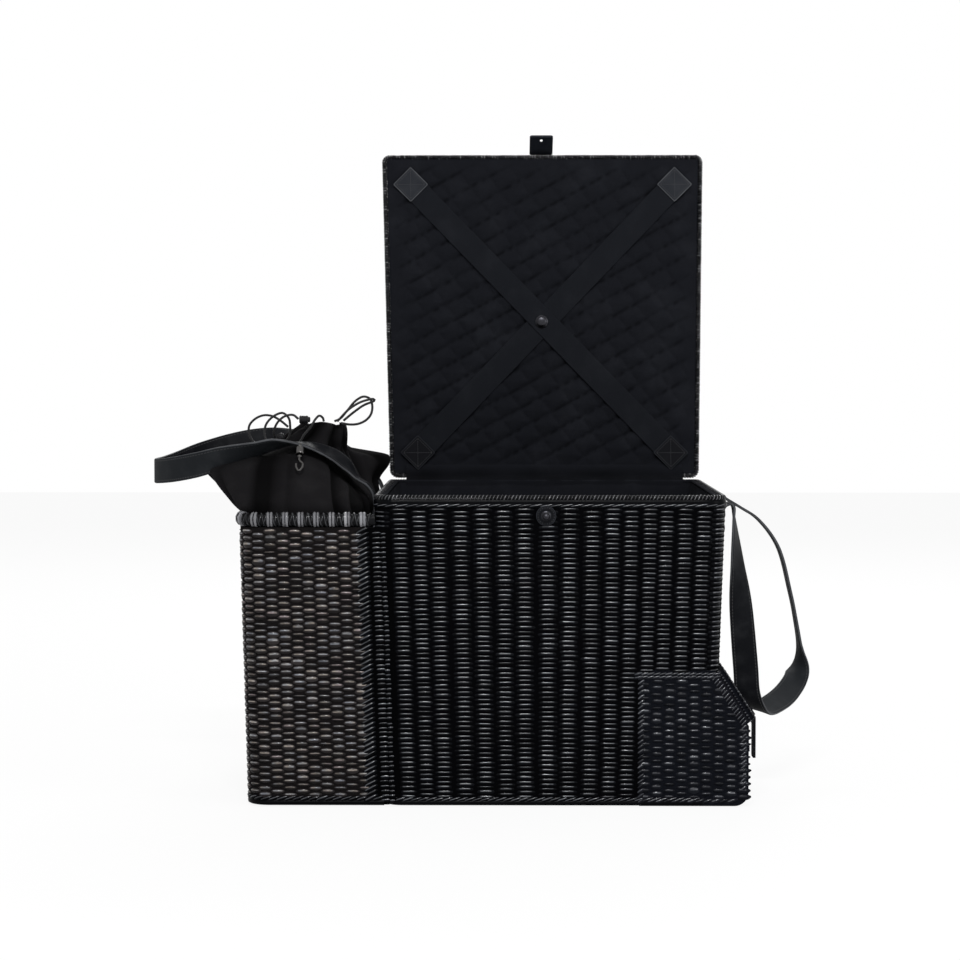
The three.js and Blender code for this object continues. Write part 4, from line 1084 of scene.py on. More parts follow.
@dataclass(frozen=True)
class Roll:
    """The rounded edge of a wall, seen as a face that goes round its section."""

    wall: Wall
    centre_out: float
    centre_up: float
    reach_out: float
    reach_up: float

    def place(self, along: Array, turn: Array, out: Array) -> Array:
        """Gives points on or off the roll.

        Args:
            along: Distances along the wall.
            turn: Angles round the section in tenths of a radian, 0 facing out.
            out: Distances off the roll.

        Returns:
            The points.
        """
        along, turn, out = np.broadcast_arrays(along, turn, out)
        angle = turn / 10.0
        aside = self.centre_out + (self.reach_out + out) * np.cos(angle)
        up = self.centre_up + (self.reach_up + out) * np.sin(angle)
        return self.wall.place(along, up, aside)

    def core(self, skin: Skin, along: Array, inset: float, tint: float = 0.2) -> None:
        """Adds the roll's own round body.

        Args:
            skin: Where it is added.
            along: The distances along the wall that it has rings at.
            inset: How far under the face it lies.
            tint: Its tone.
        """
        turn = np.linspace(0.0, 20.0 * math.pi, 17)[:-1]
        points = self.place(along[:, None], turn[None], np.array(-inset))
        fibre = joined(along[:, None], np.sin(turn / 10.0)[None], 0.0)
        skin.grid(points[:, ::-1], wrap=True, tint=tint, fibre=fibre[:, ::-1])


def slanted(along: Reals, up: Reals, run: float, rise: float) -> tuple[Array, Array]:
    """Gives the starts and the ends of strands that lean alike."""
    starts = joined(along, up)
    return starts, starts + (run, rise)


def wraps(count: int, start: float, pitch: float, slant: float, low: float, high: float) -> tuple:
    """Lists the ends of strands round a roll, from a low to a high angle in tenths of a radian."""
    return slanted(start + pitch * np.arange(count), low, slant, high - low)


def lifted(place: Placer, lift: float) -> Placer:
    """Gives the placer of a face that lies further out."""

    def above(along: Array, up: Array, out: Array) -> Array:
        """Gives points off the further face."""
        return place(along, up, lift + out)

    return above


def dome(radius: float, base: float, rise: float) -> list[tuple[float, float]]:
    """Lists the radii and heights of a stud's rounded top."""
    return [(radius * math.cos(a), base + rise * math.sin(a)) for a in np.linspace(0.15, 1.45, 8)]


def stitches(
    skin: Skin,
    place: Placer,
    corners: Sequence[tuple[float, float]],
    pitch: float,
    chance: Chance,
    width: float = 0.4,
) -> None:
    """Sews a line of stitches on a face.

    Args:
        skin: Where they are added.
        place: The face.
        corners: The line's corners, along and up.
        pitch: The distance from stitch to stitch.
        chance: The seeded source of unevenness.
        width: Half a stitch's width.
    """
    lay = Lay(width, 0.35, 0.35, 0.3, 0.3, 5, 0.05)
    for first, final in zip(corners[:-1], corners[1:]):
        start, stop = np.array(first, float), np.array(final, float)
        count = max(1, round(float(np.linalg.norm(stop - start)) / pitch))
        share = np.arange(count)[:, None] / count
        gap = 0.14 / count
        starts = start + (stop - start) * (share + gap)
        ends = start + (stop - start) * (share + 1.0 / count - gap)
        strands(skin, place, starts, ends, lay, chance, (0.6, 1.0))


def soft_copy(
    node: str,
    name: str,
    material: Material,
    body: str,
    voxel: float,
    ripple: float,
    scale: float,
) -> bpy.types.Object:
    """Makes a CAD cloth form soft: rounded, and rippled as sewn cloth is.

    Args:
        node: The CAD node whose form it takes.
        name: The piece's name.
        material: Its finish.
        body: The CAD body it rides on.
        voxel: The size of its faces, in millimetres.
        ripple: How far the ripples go in, in millimetres.
        scale: The ripples' size, in millimetres.

    Returns:
        The piece.
    """
    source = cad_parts[node]
    piece = linked(name, source.data.copy())
    piece.matrix_world = source.matrix_world.copy()
    remesh = piece.modifiers.new("even", "REMESH")
    remesh.mode = "VOXEL"
    remesh.voxel_size = voxel * MM
    soften = piece.modifiers.new("soften", "SMOOTH")
    soften.factor = 0.5
    soften.iterations = 3
    shape = piece.evaluated_get(bpy.context.evaluated_depsgraph_get())
    mesh = bpy.data.meshes.new_from_object(shape)
    piece.modifiers.clear()
    piece.data = mesh
    count = len(mesh.vertices)
    spots, ways = np.zeros(count * 3), np.zeros(count * 3)
    mesh.vertices.foreach_get("co", spots)
    mesh.vertices.foreach_get("normal", ways)
    spots, ways = spots.reshape(-1, 3), ways.reshape(-1, 3)
    depth = ripples(spots / MM / scale)
    spots = spots - ways * (depth * ripple * MM)[:, None]
    mesh.vertices.foreach_set("co", spots.ravel())
    mesh.polygons.foreach_set("use_smooth", np.ones(len(mesh.polygons), bool))
    mesh.update()
    mesh.materials.clear()
    mesh.materials.append(material)
    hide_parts(node)
    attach(piece, body)
    LOG.info("%s has %d faces", name, len(mesh.polygons))
    return piece


def ripples(spots: Array) -> Array:
    """Gives soft, uneven waves, from 0 to 1.

    Args:
        spots: Places, in wave lengths.

    Returns:
        The wave's height at each.
    """
    total = np.zeros(spots.shape[:-1])
    turns = ((1.0, 0.35, 0.2), (-0.4, 1.0, 0.5), (0.3, -0.6, 1.0), (1.7, 1.1, -0.8), (-1.2, 1.9, 1.4))
    for index, turn in enumerate(turns):
        wave = spots @ np.array(turn) + 0.7 * np.sin(spots @ np.array(turn[::-1]) + index)
        total += np.sin(2.0 * math.pi * wave / (1.0 + 0.2 * index) + 1.3 * index) / len(turns)
    return 0.5 + 0.5 * total


def slab(skin: Skin, outline: Array, place: Placer, thick: float) -> None:
    """Adds a flat piece with rounded edges, closed on both faces.

    Args:
        skin: Where it is added.
        outline: Its outline, along and up, in order.
        place: The face it lies on, with its own underside at 0.
        thick: Its thickness.
    """
    round_off = 0.35
    middle = outline.mean(axis=0)
    inward = unit(middle - outline)
    levels = ((0.0, 0.0), (0.0, thick - round_off), (0.3, thick - 0.3 * round_off), (1.0, thick))
    rings = []
    for inset, out in levels:
        flat = outline + inward * inset * round_off
        rings.append(place(flat[:, 0], flat[:, 1], np.full(len(flat), out)))
    edge = np.zeros((len(rings), len(outline), 3))
    edge[..., 1] = 1.0
    skin.grid(np.stack(rings), wrap=True, fibre=edge)
    skin.cap(rings[0], place(*(np.array([part]) for part in (*middle, 0.0)))[0], flip=True)
    skin.cap(rings[-1], place(*(np.array([part]) for part in (*middle, thick)))[0])


def rounded(width: float, height: float, corner: float, turn: float = 0.0) -> Array:
    """Draws a rounded rectangle about its middle.

    Args:
        width: Its width.
        height: Its height.
        corner: Its corners' radius.
        turn: How far it is turned, in degrees.

    Returns:
        The outline's points, in order.
    """
    points = []
    for quarter in range(4):
        side_x = 1 if quarter in (0, 3) else -1
        side_y = 1 if quarter in (0, 1) else -1
        for step in range(6):
            angle = math.pi / 2.0 * (quarter + step / 5.0)
            x = side_x * (width / 2.0 - corner) + corner * math.cos(angle)
            y = side_y * (height / 2.0 - corner) + corner * math.sin(angle)
            points.append((x, y))
    angle = math.radians(turn)
    spin = np.array([[math.cos(angle), -math.sin(angle)], [math.sin(angle), math.cos(angle)]])
    return np.array(points) @ spin.T


def dress_node(name: str, material: Material, round_off: float = 0.0) -> None:
    """Gives a CAD node its finish, and soft edges if it has sharp ones.

    Args:
        name: The node's name.
        material: Its finish.
        round_off: How far its edges are rounded, in millimetres.
    """
    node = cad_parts[name]
    node.data.materials.clear()
    node.data.materials.append(material)
    if round_off > 0.0:
        bevel = node.modifiers.new("soft_edges", "BEVEL")
        bevel.width = round_off * MM
        bevel.segments = 3
        bevel.limit_method = "ANGLE"
        bevel.angle_limit = math.radians(40)
    LOG.info("%s is dressed", name)


# The basket's sub-assemblies


@dataclass(frozen=True)
class Studio:
    """The camera, the pale floor and the soft lamps."""

    eye: Spot = (-0.0473, -2.7496, 0.4476)
    lens: float = 97.12
    tilt: float = 2.66
    pan: float = 0.501
    world_light: float = 0.5

    def camera(self) -> None:
        """Sets the camera where the photograph was taken from."""
        lens = bpy.data.cameras.new("camera")
        lens.lens = self.lens
        lens.sensor_width = 36.0
        camera = linked("camera", lens)
        camera.location = self.eye
        camera.rotation_euler = (math.radians(90.0 - self.tilt), 0.0, math.radians(self.pan))
        bpy.context.scene.camera = camera

    @staticmethod
    def lamp(name: str, spot: Spot, aim: Spot, size: tuple[float, float], power: float) -> None:
        """Hangs one soft lamp.

        Args:
            name: The lamp's name.
            spot: Where it hangs.
            aim: Where it points.
            size: Its width and height.
            power: Its power, in watts.
        """
        light = bpy.data.lights.new(name, "AREA")
        light.energy = power
        light.shape = "RECTANGLE"
        light.size, light.size_y = size
        lamp = linked(name, light)
        lamp.location = spot
        heading = np.array(aim) - np.array(spot)
        level = math.hypot(heading[0], heading[1])
        turn = math.atan2(-heading[0], heading[1])
        lamp.rotation_euler = (math.atan2(level, -heading[2]), 0.0, turn)

    def dress(self) -> None:
        """Lays the floor, lights the world and hangs the lamps."""
        bpy.context.scene.view_settings.view_transform = "Standard"
        world = bpy.data.worlds.new("studio")
        bpy.context.scene.world = world
        sky = Tree(world)
        rays = ("Is Camera Ray", "Is Glossy Ray", "Is Transmission Ray")
        camera, glossy, through = (sky.node("ShaderNodeLightPath", output=ray) for ray in rays)
        seen = camera.most(glossy).most(through)
        strength = seen * (1.0 - self.world_light) + self.world_light
        inputs = {"Color": (1.0, 1.0, 1.0), "Strength": strength}
        light = sky.node("ShaderNodeBackground", inputs=inputs)
        output = sky.tree.nodes.new("ShaderNodeOutputWorld")
        sky.tree.links.new(light.socket, output.inputs[0])
        self.floor()
        self.lamp("key", (-0.12, -2.5, 2.4), (-0.05, 0.0, 0.2), (1.0, 0.2), 60.0)
        self.lamp("fill", (2.2, -1.6, 1.0), (-0.05, 0.0, 0.25), (1.2, 1.2), 18.0)
        self.lamp("back", (0.2, 2.6, 2.2), (-0.05, 0.0, 0.3), (1.6, 0.5), 45.0)

    @staticmethod
    def floor() -> None:
        """Lays the pale floor, which keeps the basket's shadow."""
        skin = Skin()
        reach = np.linspace(-6000.0, 6000.0, 3)
        across, deep = np.meshgrid(reach, reach)
        skin.grid(joined(across, deep, -1.0))
        paint = Paint("pale_floor")
        speck = paint.noise(paint.place(), 40.0, 3.0)
        colour = paint.mix(speck, (0.86, 0.86, 0.86), (0.9, 0.9, 0.9))
        seen = paint.node("ShaderNodeLightPath", output="Is Camera Ray")
        glow = paint.node("ShaderNodeEmission", inputs={"Strength": 1.0})
        matt = paint.done(Base_Color=colour, Roughness=0.9)
        inputs = {0: seen * 0.9, 1: Sock(paint, paint.shader.outputs[0]), 2: glow}
        share = paint.node("ShaderNodeMixShader", inputs=inputs)
        paint.tree.links.new(share.socket, paint.output.inputs[0])
        skin.piece("floor", matt, None)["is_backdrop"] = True


@dataclass(frozen=True)
class FreeCord:
    """A stretch of the bag's drawstring."""

    name: str
    points: tuple[Spot, ...]
    node: Optional[str] = None
    diameter: float = 2.5

    def lay(self, material: Material) -> None:
        """Lays the cord as one curve along its route.

        Args:
            material: The cord's finish.
        """
        route = smooth_route(self.points, len(self.points) * 6) * MM
        curve = bpy.data.curves.new(self.name, "CURVE")
        curve.dimensions = "3D"
        curve.bevel_depth = self.diameter * MM / 2.0
        curve.bevel_resolution = 3
        curve.use_fill_caps = True
        spline = curve.splines.new("POLY")
        spline.points.add(len(route) - 1)
        spline.points.foreach_set("co", np.hstack([route, np.ones((len(route), 1))]).ravel())
        spline.use_smooth = True
        curve.materials.append(material)
        piece = linked(self.name, curve)
        length = float(np.sum(np.linalg.norm(np.diff(route, axis=0), axis=1)))
        if self.node is not None:
            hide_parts(self.node)
        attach(piece, "basket")
        LOG.info("%s is %.0f mm long", self.name, length / MM)


@dataclass(frozen=True)
class Drawstrings:
    """The stretches of drawstring and the two cord locks on them."""

    barrel_radius: float = 4.2
    barrel_length: float = 9.0
    upper: Spot = (-253.0, -72.2, 385.7)
    lower: Spot = (-277.0, -69.0, 367.5)

    @staticmethod
    def stretches() -> tuple[FreeCord, ...]:
        """Lists the cord's stretches, each from where it leaves a lock or the bag's neck."""
        left = (
            (-258.6, -72.2, 386.4), (-264.3, -71, 390.5), (-274, -70, 388.5), (-281.5, -69, 381),
            (-284.5, -66, 371.5), (-281.5, -61.5, 364), (-274, -59.5, 362.5), (-268.7, -60, 369),
            (-268, -61.5, 378), (-269.5, -61.5, 387), (-275.7, -62, 392.3), (-285, -63, 389),
            (-292.5, -64, 381), (-294.4, -65, 371.5), (-291.5, -67, 363), (-286, -68.8, 360.3),
            (-280.2, -69, 364.1),
        )
        outer = (
            (-271.6, -44, 377.5), (-279, -43, 383.5), (-288, -41, 388.5), (-297, -40, 389.5),
            (-306, -39.5, 386), (-312.5, -39, 379), (-313, -39.5, 370.5), (-309, -40.5, 362.5),
            (-301, -41.5, 357.5),
        )
        front = (
            (-257, -72.8, 362.2), (-252.5, -73.3, 370), (-245.5, -73.4, 378.5), (-241, -72.4, 386),
            (-237, -70.9, 389.7), (-233.5, -69.8, 387.5), (-232.5, -69.2, 383.8),
        )
        bow = (
            (-222, -60.5, 383.7), (-216, -61, 386.5), (-208.5, -60.5, 395), (-200.5, -60, 404.5),
            (-192, -60, 409.3), (-185, -60.5, 407), (-182.6, -61.5, 399.5), (-184, -63, 391),
            (-189, -64, 385), (-197, -65, 381.2), (-206, -65.5, 380.5), (-215, -66, 382),
        )
        tail = (
            (-219, -62, 383.5), (-207, -63.5, 396), (-196, -64.5, 403), (-186.5, -65, 406.2),
            (-181.5, -65, 406.9), (-179.8, -64.8, 405.7), (-182, -64.6, 404.2), (-191, -64.2, 400.6),
            (-202, -63.4, 393), (-212.5, -62.4, 384.4),
        )
        return (
            FreeCord("cord_left_line", left, "cord_left"),
            FreeCord("cord_outer_line", outer, "cord_outer"),
            FreeCord("cord_front_line", front, "cord_front"),
            FreeCord("cord_bow_line", bow, "cord_bow"),
            FreeCord("cord_tail_line", tail),
        )

    def lay_cords(self, finishes: Finishes) -> None:
        """Lays all the cord's stretches."""
        for stretch in self.stretches():
            stretch.lay(finishes.yarn)

    def locks(self, finishes: Finishes) -> None:
        """Makes the two locks' ribbed barrels and finishes the sprung buttons in their ends."""
        half, radius = self.barrel_length / 2.0, self.barrel_radius
        profile = [(radius - 0.7, -half), (radius, -half + 0.7)]
        for rib in range(4):
            far = -half + 1.6 + rib * 1.5
            groove = radius - 0.35
            profile += [(radius, far), (groove, far + 0.4), (groove, far + 0.7), (radius, far + 1.1)]
        profile += [(radius, half - 0.7), (radius - 0.7, half)]
        for name, centre, axis in (
            ("upper_lock", self.upper, (1.0, 0.0, 0.0)),
            ("lower_lock", self.lower, (0.0, -1.0, 0.0)),
        ):
            skin = Skin()
            turned(skin, profile, centre, axis, 32)
            skin.piece(f"{name}_shell", finishes.plastic, "basket", "plastic", [f"{name}_barrel"])
            dress_node(f"{name}_button", finishes.plastic, 0.5)


@dataclass(frozen=True)
class MainBox:
    """The main compartment: woven walls, wrapped rim, twined borders and cloth liner."""

    row: float = 2.45
    side_pitch: float = 20.4
    wrap_pitch: float = 3.6
    liner_inset: float = 11.6
    liner_top: float = 309.5
    floor_level: float = 12.0
    step_gap: float = 11.9
    rim_level: float = 309.5
    weave_low: float = 9.0
    weave_high: float = 300.5
    front_stakes: tuple[float, ...] = (
        -146, -127, -109, -87, -66, -45, -25, -2, 19, 41, 61, 79, 97, 113, 131, 149,
    )

    @property
    def wall(self) -> Wall:
        """The box's outer wall."""
        foot, brim = BOX_FOOT_HALF, BOX_BRIM_HALF
        low, high = four_corners(-foot, foot, foot), four_corners(-brim, brim, brim)
        return Wall(low, high, BOX_HEIGHT, BOX_CORNER)

    def stakes(self) -> list[float]:
        """Lists all the stakes round the wall, with one in each corner."""
        breaks = self.wall.breaks()
        middle = (breaks[0] + breaks[1]) / 2.0
        posts = [middle + across for across in self.front_stakes]
        for side in range(3):
            start, stop = breaks[2 * side + 2], breaks[2 * side + 3]
            posts.append((breaks[2 * side + 1] + start) / 2.0)
            posts += even_stakes(start, stop, self.side_pitch * (1.07 if side == 2 else 1.0))
        posts.append((breaks[7] + breaks[8]) / 2.0)
        return posts

    def weave(self, finishes: Finishes) -> None:
        """Weaves the four sides, leaving out what the pocket and the bottle basket hide."""
        wall = self.wall
        breaks = wall.breaks()
        notch_front = (breaks[0] + breaks[1]) / 2.0 + POCKET_LEFT - 3.0
        notch_side = (breaks[2] + breaks[3]) / 2.0 + POCKET_BACK + 4.0
        weave = Weave(self.side_pitch, self.row, Lay(1.95, 1.2, 2.5, 1.2, 0.35))
        chance = np.random.default_rng(11)
        half_corner = 14.0
        ends = [-math.inf, *(breaks[leg] + half_corner for leg in (1, 3, 5)), math.inf]
        for side, start, stop in zip(("front", "right", "back", "left"), ends[:-1], ends[1:]):
            skin = Skin()

            def keep(along: Array, up: Array) -> Array:
                """Keeps the strands of this side that aren't hidden."""
                here = (along >= start) & (along < stop)
                notch = (along > notch_front) & (along < notch_side) & (up < POCKET_TOP - 1.5)
                hidden = (along > breaks[5] + 30.0) & (along < breaks[7] - 10.0) & (up < 262.0)
                return here & ~notch & ~hidden

            low, high = self.weave_low, self.weave_high
            weave.cover(skin, wall.place, self.stakes(), low, high, chance, keep)
            skin.piece(f"main_weave_{side}", finishes.wicker, "basket", "weave")
        dress_node("main_basket", finishes.board)

    def rim(self, finishes: Finishes) -> None:
        """Wraps the rim, twines a row under it and another at the foot."""
        wall = self.wall
        length = wall.breaks()[-1]
        chance = np.random.default_rng(12)
        roll = Roll(wall, -3.1, self.rim_level, 3.7, 3.3)
        even = np.linspace(0.0, length, 260)
        skin = Skin()
        roll.core(skin, even, 0.7)
        count = round(length / self.wrap_pitch)
        pair = wraps(count, 0.0, length / count, 5.5, -6.0, 37.0)
        strands(skin, roll.place, *pair, Lay(1.45, 0.9, 0.8, 0.3, 0.2, 11), chance)
        skin.piece("main_rim_wrap", finishes.wrap, "basket", "weave", ["main_rim"])
        skin = Skin()
        rows = ((301.8, 302.4, 304.5, 307.5, 308.4), (-0.2, 0.7, 1.0, 0.7, -0.2))
        wall.bead(skin, even, rows, 0.25)
        count = round(length / 10.0)
        upper = slanted(np.arange(count) * length / count, 300.6, 19.0, 3.4)
        strands(skin, wall.place, *upper, Lay(1.5, 1.1, 1.4, 2.0, 0.55, 9), chance, (0.2, 1.0))
        count = round(length / 8.0)
        lower = slanted(np.arange(count) * length / count, 4.6, 13.0, 3.8)
        strands(skin, wall.place, *lower, Lay(1.5, 1.1, 1.4, 1.5, 0.5, 7), chance, (0.2, 1.0))
        wall.bead(skin, even, ((0.3, 1.2, 3.6, 5.0), (-0.8, 0.9, 1.2, 0.2)), 0.2)
        skin.piece("main_borders", finishes.wicker, "basket", "weave")

    def liner(self, finishes: Finishes) -> None:
        """Sews the padded liner, with its step over the pocket, and its bound edge."""
        wall = self.wall
        along = np.linspace(0.0, wall.breaks()[-1], 200)
        up = np.linspace(self.floor_level, self.liner_top, 60)
        skin = Skin()
        spots = wall.place(along[:, None], up[None], np.array(-self.liner_inset))
        edge = smooth_step(0.0, 30.0, up)[None] * smooth_step(0.0, 14.0, self.liner_top + 1.0 - up)[None]
        depth = ripples(spots / 95.0) * 3.2 * edge
        skin.grid(wall.place(along[:, None], up[None], -self.liner_inset - depth))
        floor = []
        for share in np.linspace(1.0, 0.0, 24):
            ring = wall.place(along, np.array(self.floor_level), np.array(-self.liner_inset))
            ring = ring * (share, share, 1.0)
            ring[:, 2] += 2.5 * ripples(ring / 80.0) * min(1.0, 6.0 * (1.0 - share))
            floor.append(ring)
        skin.grid(np.stack(floor)[::-1])
        gap = self.step_gap
        left, back, top = POCKET_LEFT - gap, POCKET_BACK + gap, POCKET_TOP + gap
        section = smooth_route([(left, 0, 10), (left, 0, top - 8), (left + 8, 0, top), (163, 0, top)], 30)
        deep = np.linspace(-156.0, back, 24)
        across, high = section[:, None, 0], section[:, None, 2]
        skin.grid(joined(across, deep[None], high))
        skin.grid(joined(across, back, high * np.linspace(1, 0.05, 12)))
        piece = skin.piece("main_liner_cloth", finishes.lining, "basket", "fabric", ["main_liner"])
        roll = Roll(wall, -9.35, 310.8, 2.1, 1.6)
        skin = Skin()
        roll.core(skin, np.linspace(0.0, wall.breaks()[-1], 240), 0.0, 0.4)
        skin.piece("liner_edge", finishes.lining, "basket", "fabric", ["liner_binding"])


@dataclass(frozen=True)
class BottleBasket:
    """The bottle compartment on the box's left: woven on three sides, with a wrapped rim."""

    left_foot: float = -304.0
    left_brim: float = -311.0
    corner: float = 22.0
    stake: float = 12.5
    row: float = 3.45
    rim_level: float = 288.0
    liner_foot: tuple[float, float, float] = (-294.4, -184.6, 156.4)
    liner_brim: tuple[float, float, float] = (-301.4, -194.0, 165.2)
    liner_corner: float = 13.0

    @property
    def wall(self) -> Wall:
        """The basket's outer wall, from the box's back left edge round to its front left edge."""
        brim = half_at(BOTTLE_HEIGHT)
        foot = BOX_FOOT_HALF
        return Wall(
            ((-foot, foot), (self.left_foot, foot), (self.left_foot, -foot), (-foot, -foot)),
            ((-brim, brim), (self.left_brim, brim), (self.left_brim, -brim), (-brim, -brim)),
            BOTTLE_HEIGHT,
            self.corner,
            closed=False,
        )

    def weave(self, finishes: Finishes) -> None:
        """Weaves the three sides and lashes them to the box."""
        wall = self.wall
        length = wall.breaks()[-1]
        chance = np.random.default_rng(21)
        weave = Weave(self.stake, self.row, Lay(2.5, 1.6, 2.8, 1.7, 0.8, 9, 0.24), 0.66)
        stakes = even_stakes(0.0, length, self.stake)
        middle = length / 2.0
        for side, low, high in (("back", 10.0, middle), ("front", middle, length - 13.0)):
            skin = Skin()

            def keep(along: Array, _: Array) -> Array:
                """Keeps this half's strands."""
                return (along >= low) & (along < high)

            weave.cover(skin, wall.place, stakes, 11.0, 279.0, chance, keep)
            skin.piece(f"bottle_weave_{side}", finishes.warm_wicker, "basket", "bottle_weave")
        skin = Skin()
        up = np.arange(4.0, 276.0, 4.9)
        for start, rise in ((length - 20.0, 7.5), (4.0, -7.5)):
            leaning = slanted(start, up - min(rise, 0.0), 14.0, rise)
            strands(skin, wall.place, *leaning, Lay(2.1, 1.3, 1.3, 2.0, 0.45), chance)
        for middle, reach, top in ((length + 1.5, 6.5, 0.7), (length + 8.5, 2.9, 1.2), (-8.0, 2.9, 1.2)):
            posts = joined(middle, up + 1.0)
            posts = posts + chance.normal(size=posts.shape) * 0.3
            line = (reach, 0.3)
            strands(skin, wall.place, posts - line, posts + line, Lay(1.9, 1.2, 1.6, top, 0.4), chance)
        foot = slanted(np.arange(0.0, length - 8.0, 8.0), 5.2, 13.0, 4.4)
        strands(skin, wall.place, *foot, Lay(1.8, 1.2, 1.4, 1.7, 0.5), chance, (0.0, 0.6))
        even = np.linspace(0.0, length, 120)
        wall.bead(skin, even, ((0.3, 1.2, 3.8, 5.2), (-0.8, 0.9, 1.2, 0.2)), 0.1)
        skin.piece("bottle_lashing", finishes.wicker, "basket", "bottle_weave")
        dress_node("bottle_basket", finishes.bottle_board)

    def rim(self, finishes: Finishes) -> None:
        """Braids the rim and ties it with pairs of paler wraps."""
        wall = self.wall
        length = wall.breaks()[-1]
        chance = np.random.default_rng(22)
        roll = Roll(wall, -1.5, self.rim_level, 5.2, 6.6)
        skin = Skin()
        even = np.linspace(0.2, length + 0.6, 160)
        roll.core(skin, even, 1.2)
        for layer, (slant, top) in enumerate(((8.0, 0.2), (-8.0, 0.9))):
            pair = wraps(round(length / 5.2) - 2, 6.0 + 2.0 * layer, 5.2, slant, -15.0, 47.0)
            strands(skin, roll.place, *pair, Lay(1.5, 0.9, 0.8, top, 0.2, 9), chance, (0.0, 0.6))
        skin.piece("bottle_rim_braid", finishes.braid, "basket", "bottle_weave", ["bottle_rim"])
        skin = Skin()
        for offset in (0.3, 3.5):
            pair = wraps(int(length / 15.6), 5.4 + offset, 15.6, 0.3, -16.0, 48.0)
            lay = Lay(1.4, 0.9, 1.0, 1.5, 0.12, 11, 0.1)
            strands(skin, roll.place, *pair, lay, chance, (0.1, 1.0))
        skin.piece("bottle_rim_ties", finishes.tie, "basket", "bottle_weave")

    def liner(self, finishes: Finishes) -> None:
        """Sews the compartment's cloth liner."""
        foot, brim = four_corners(*self.liner_foot), four_corners(*self.liner_brim)
        wall = Wall(foot, brim, BOTTLE_HEIGHT, self.liner_corner)
        along = np.linspace(0.0, wall.breaks()[-1], 130)
        up = np.linspace(10.0, 280.0, 46)
        spots = wall.place(along[:, None], up[None], np.array(0.0))
        depth = ripples(spots / 80.0) * 2.0
        skin = Skin()
        skin.grid(wall.place(along[:, None], up[None], -depth))
        ring = wall.place(along, np.array(11.0), np.array(0.0))
        centre = np.array([-240.0, 0.0, 11.0])
        rings = [centre + (ring - centre) * share for share in np.linspace(0.02, 1.0, 14)]
        skin.grid(np.stack(rings))
        piece = skin.piece("bottle_liner_cloth", finishes.lining, "basket", "fabric", ["bottle_liner"])


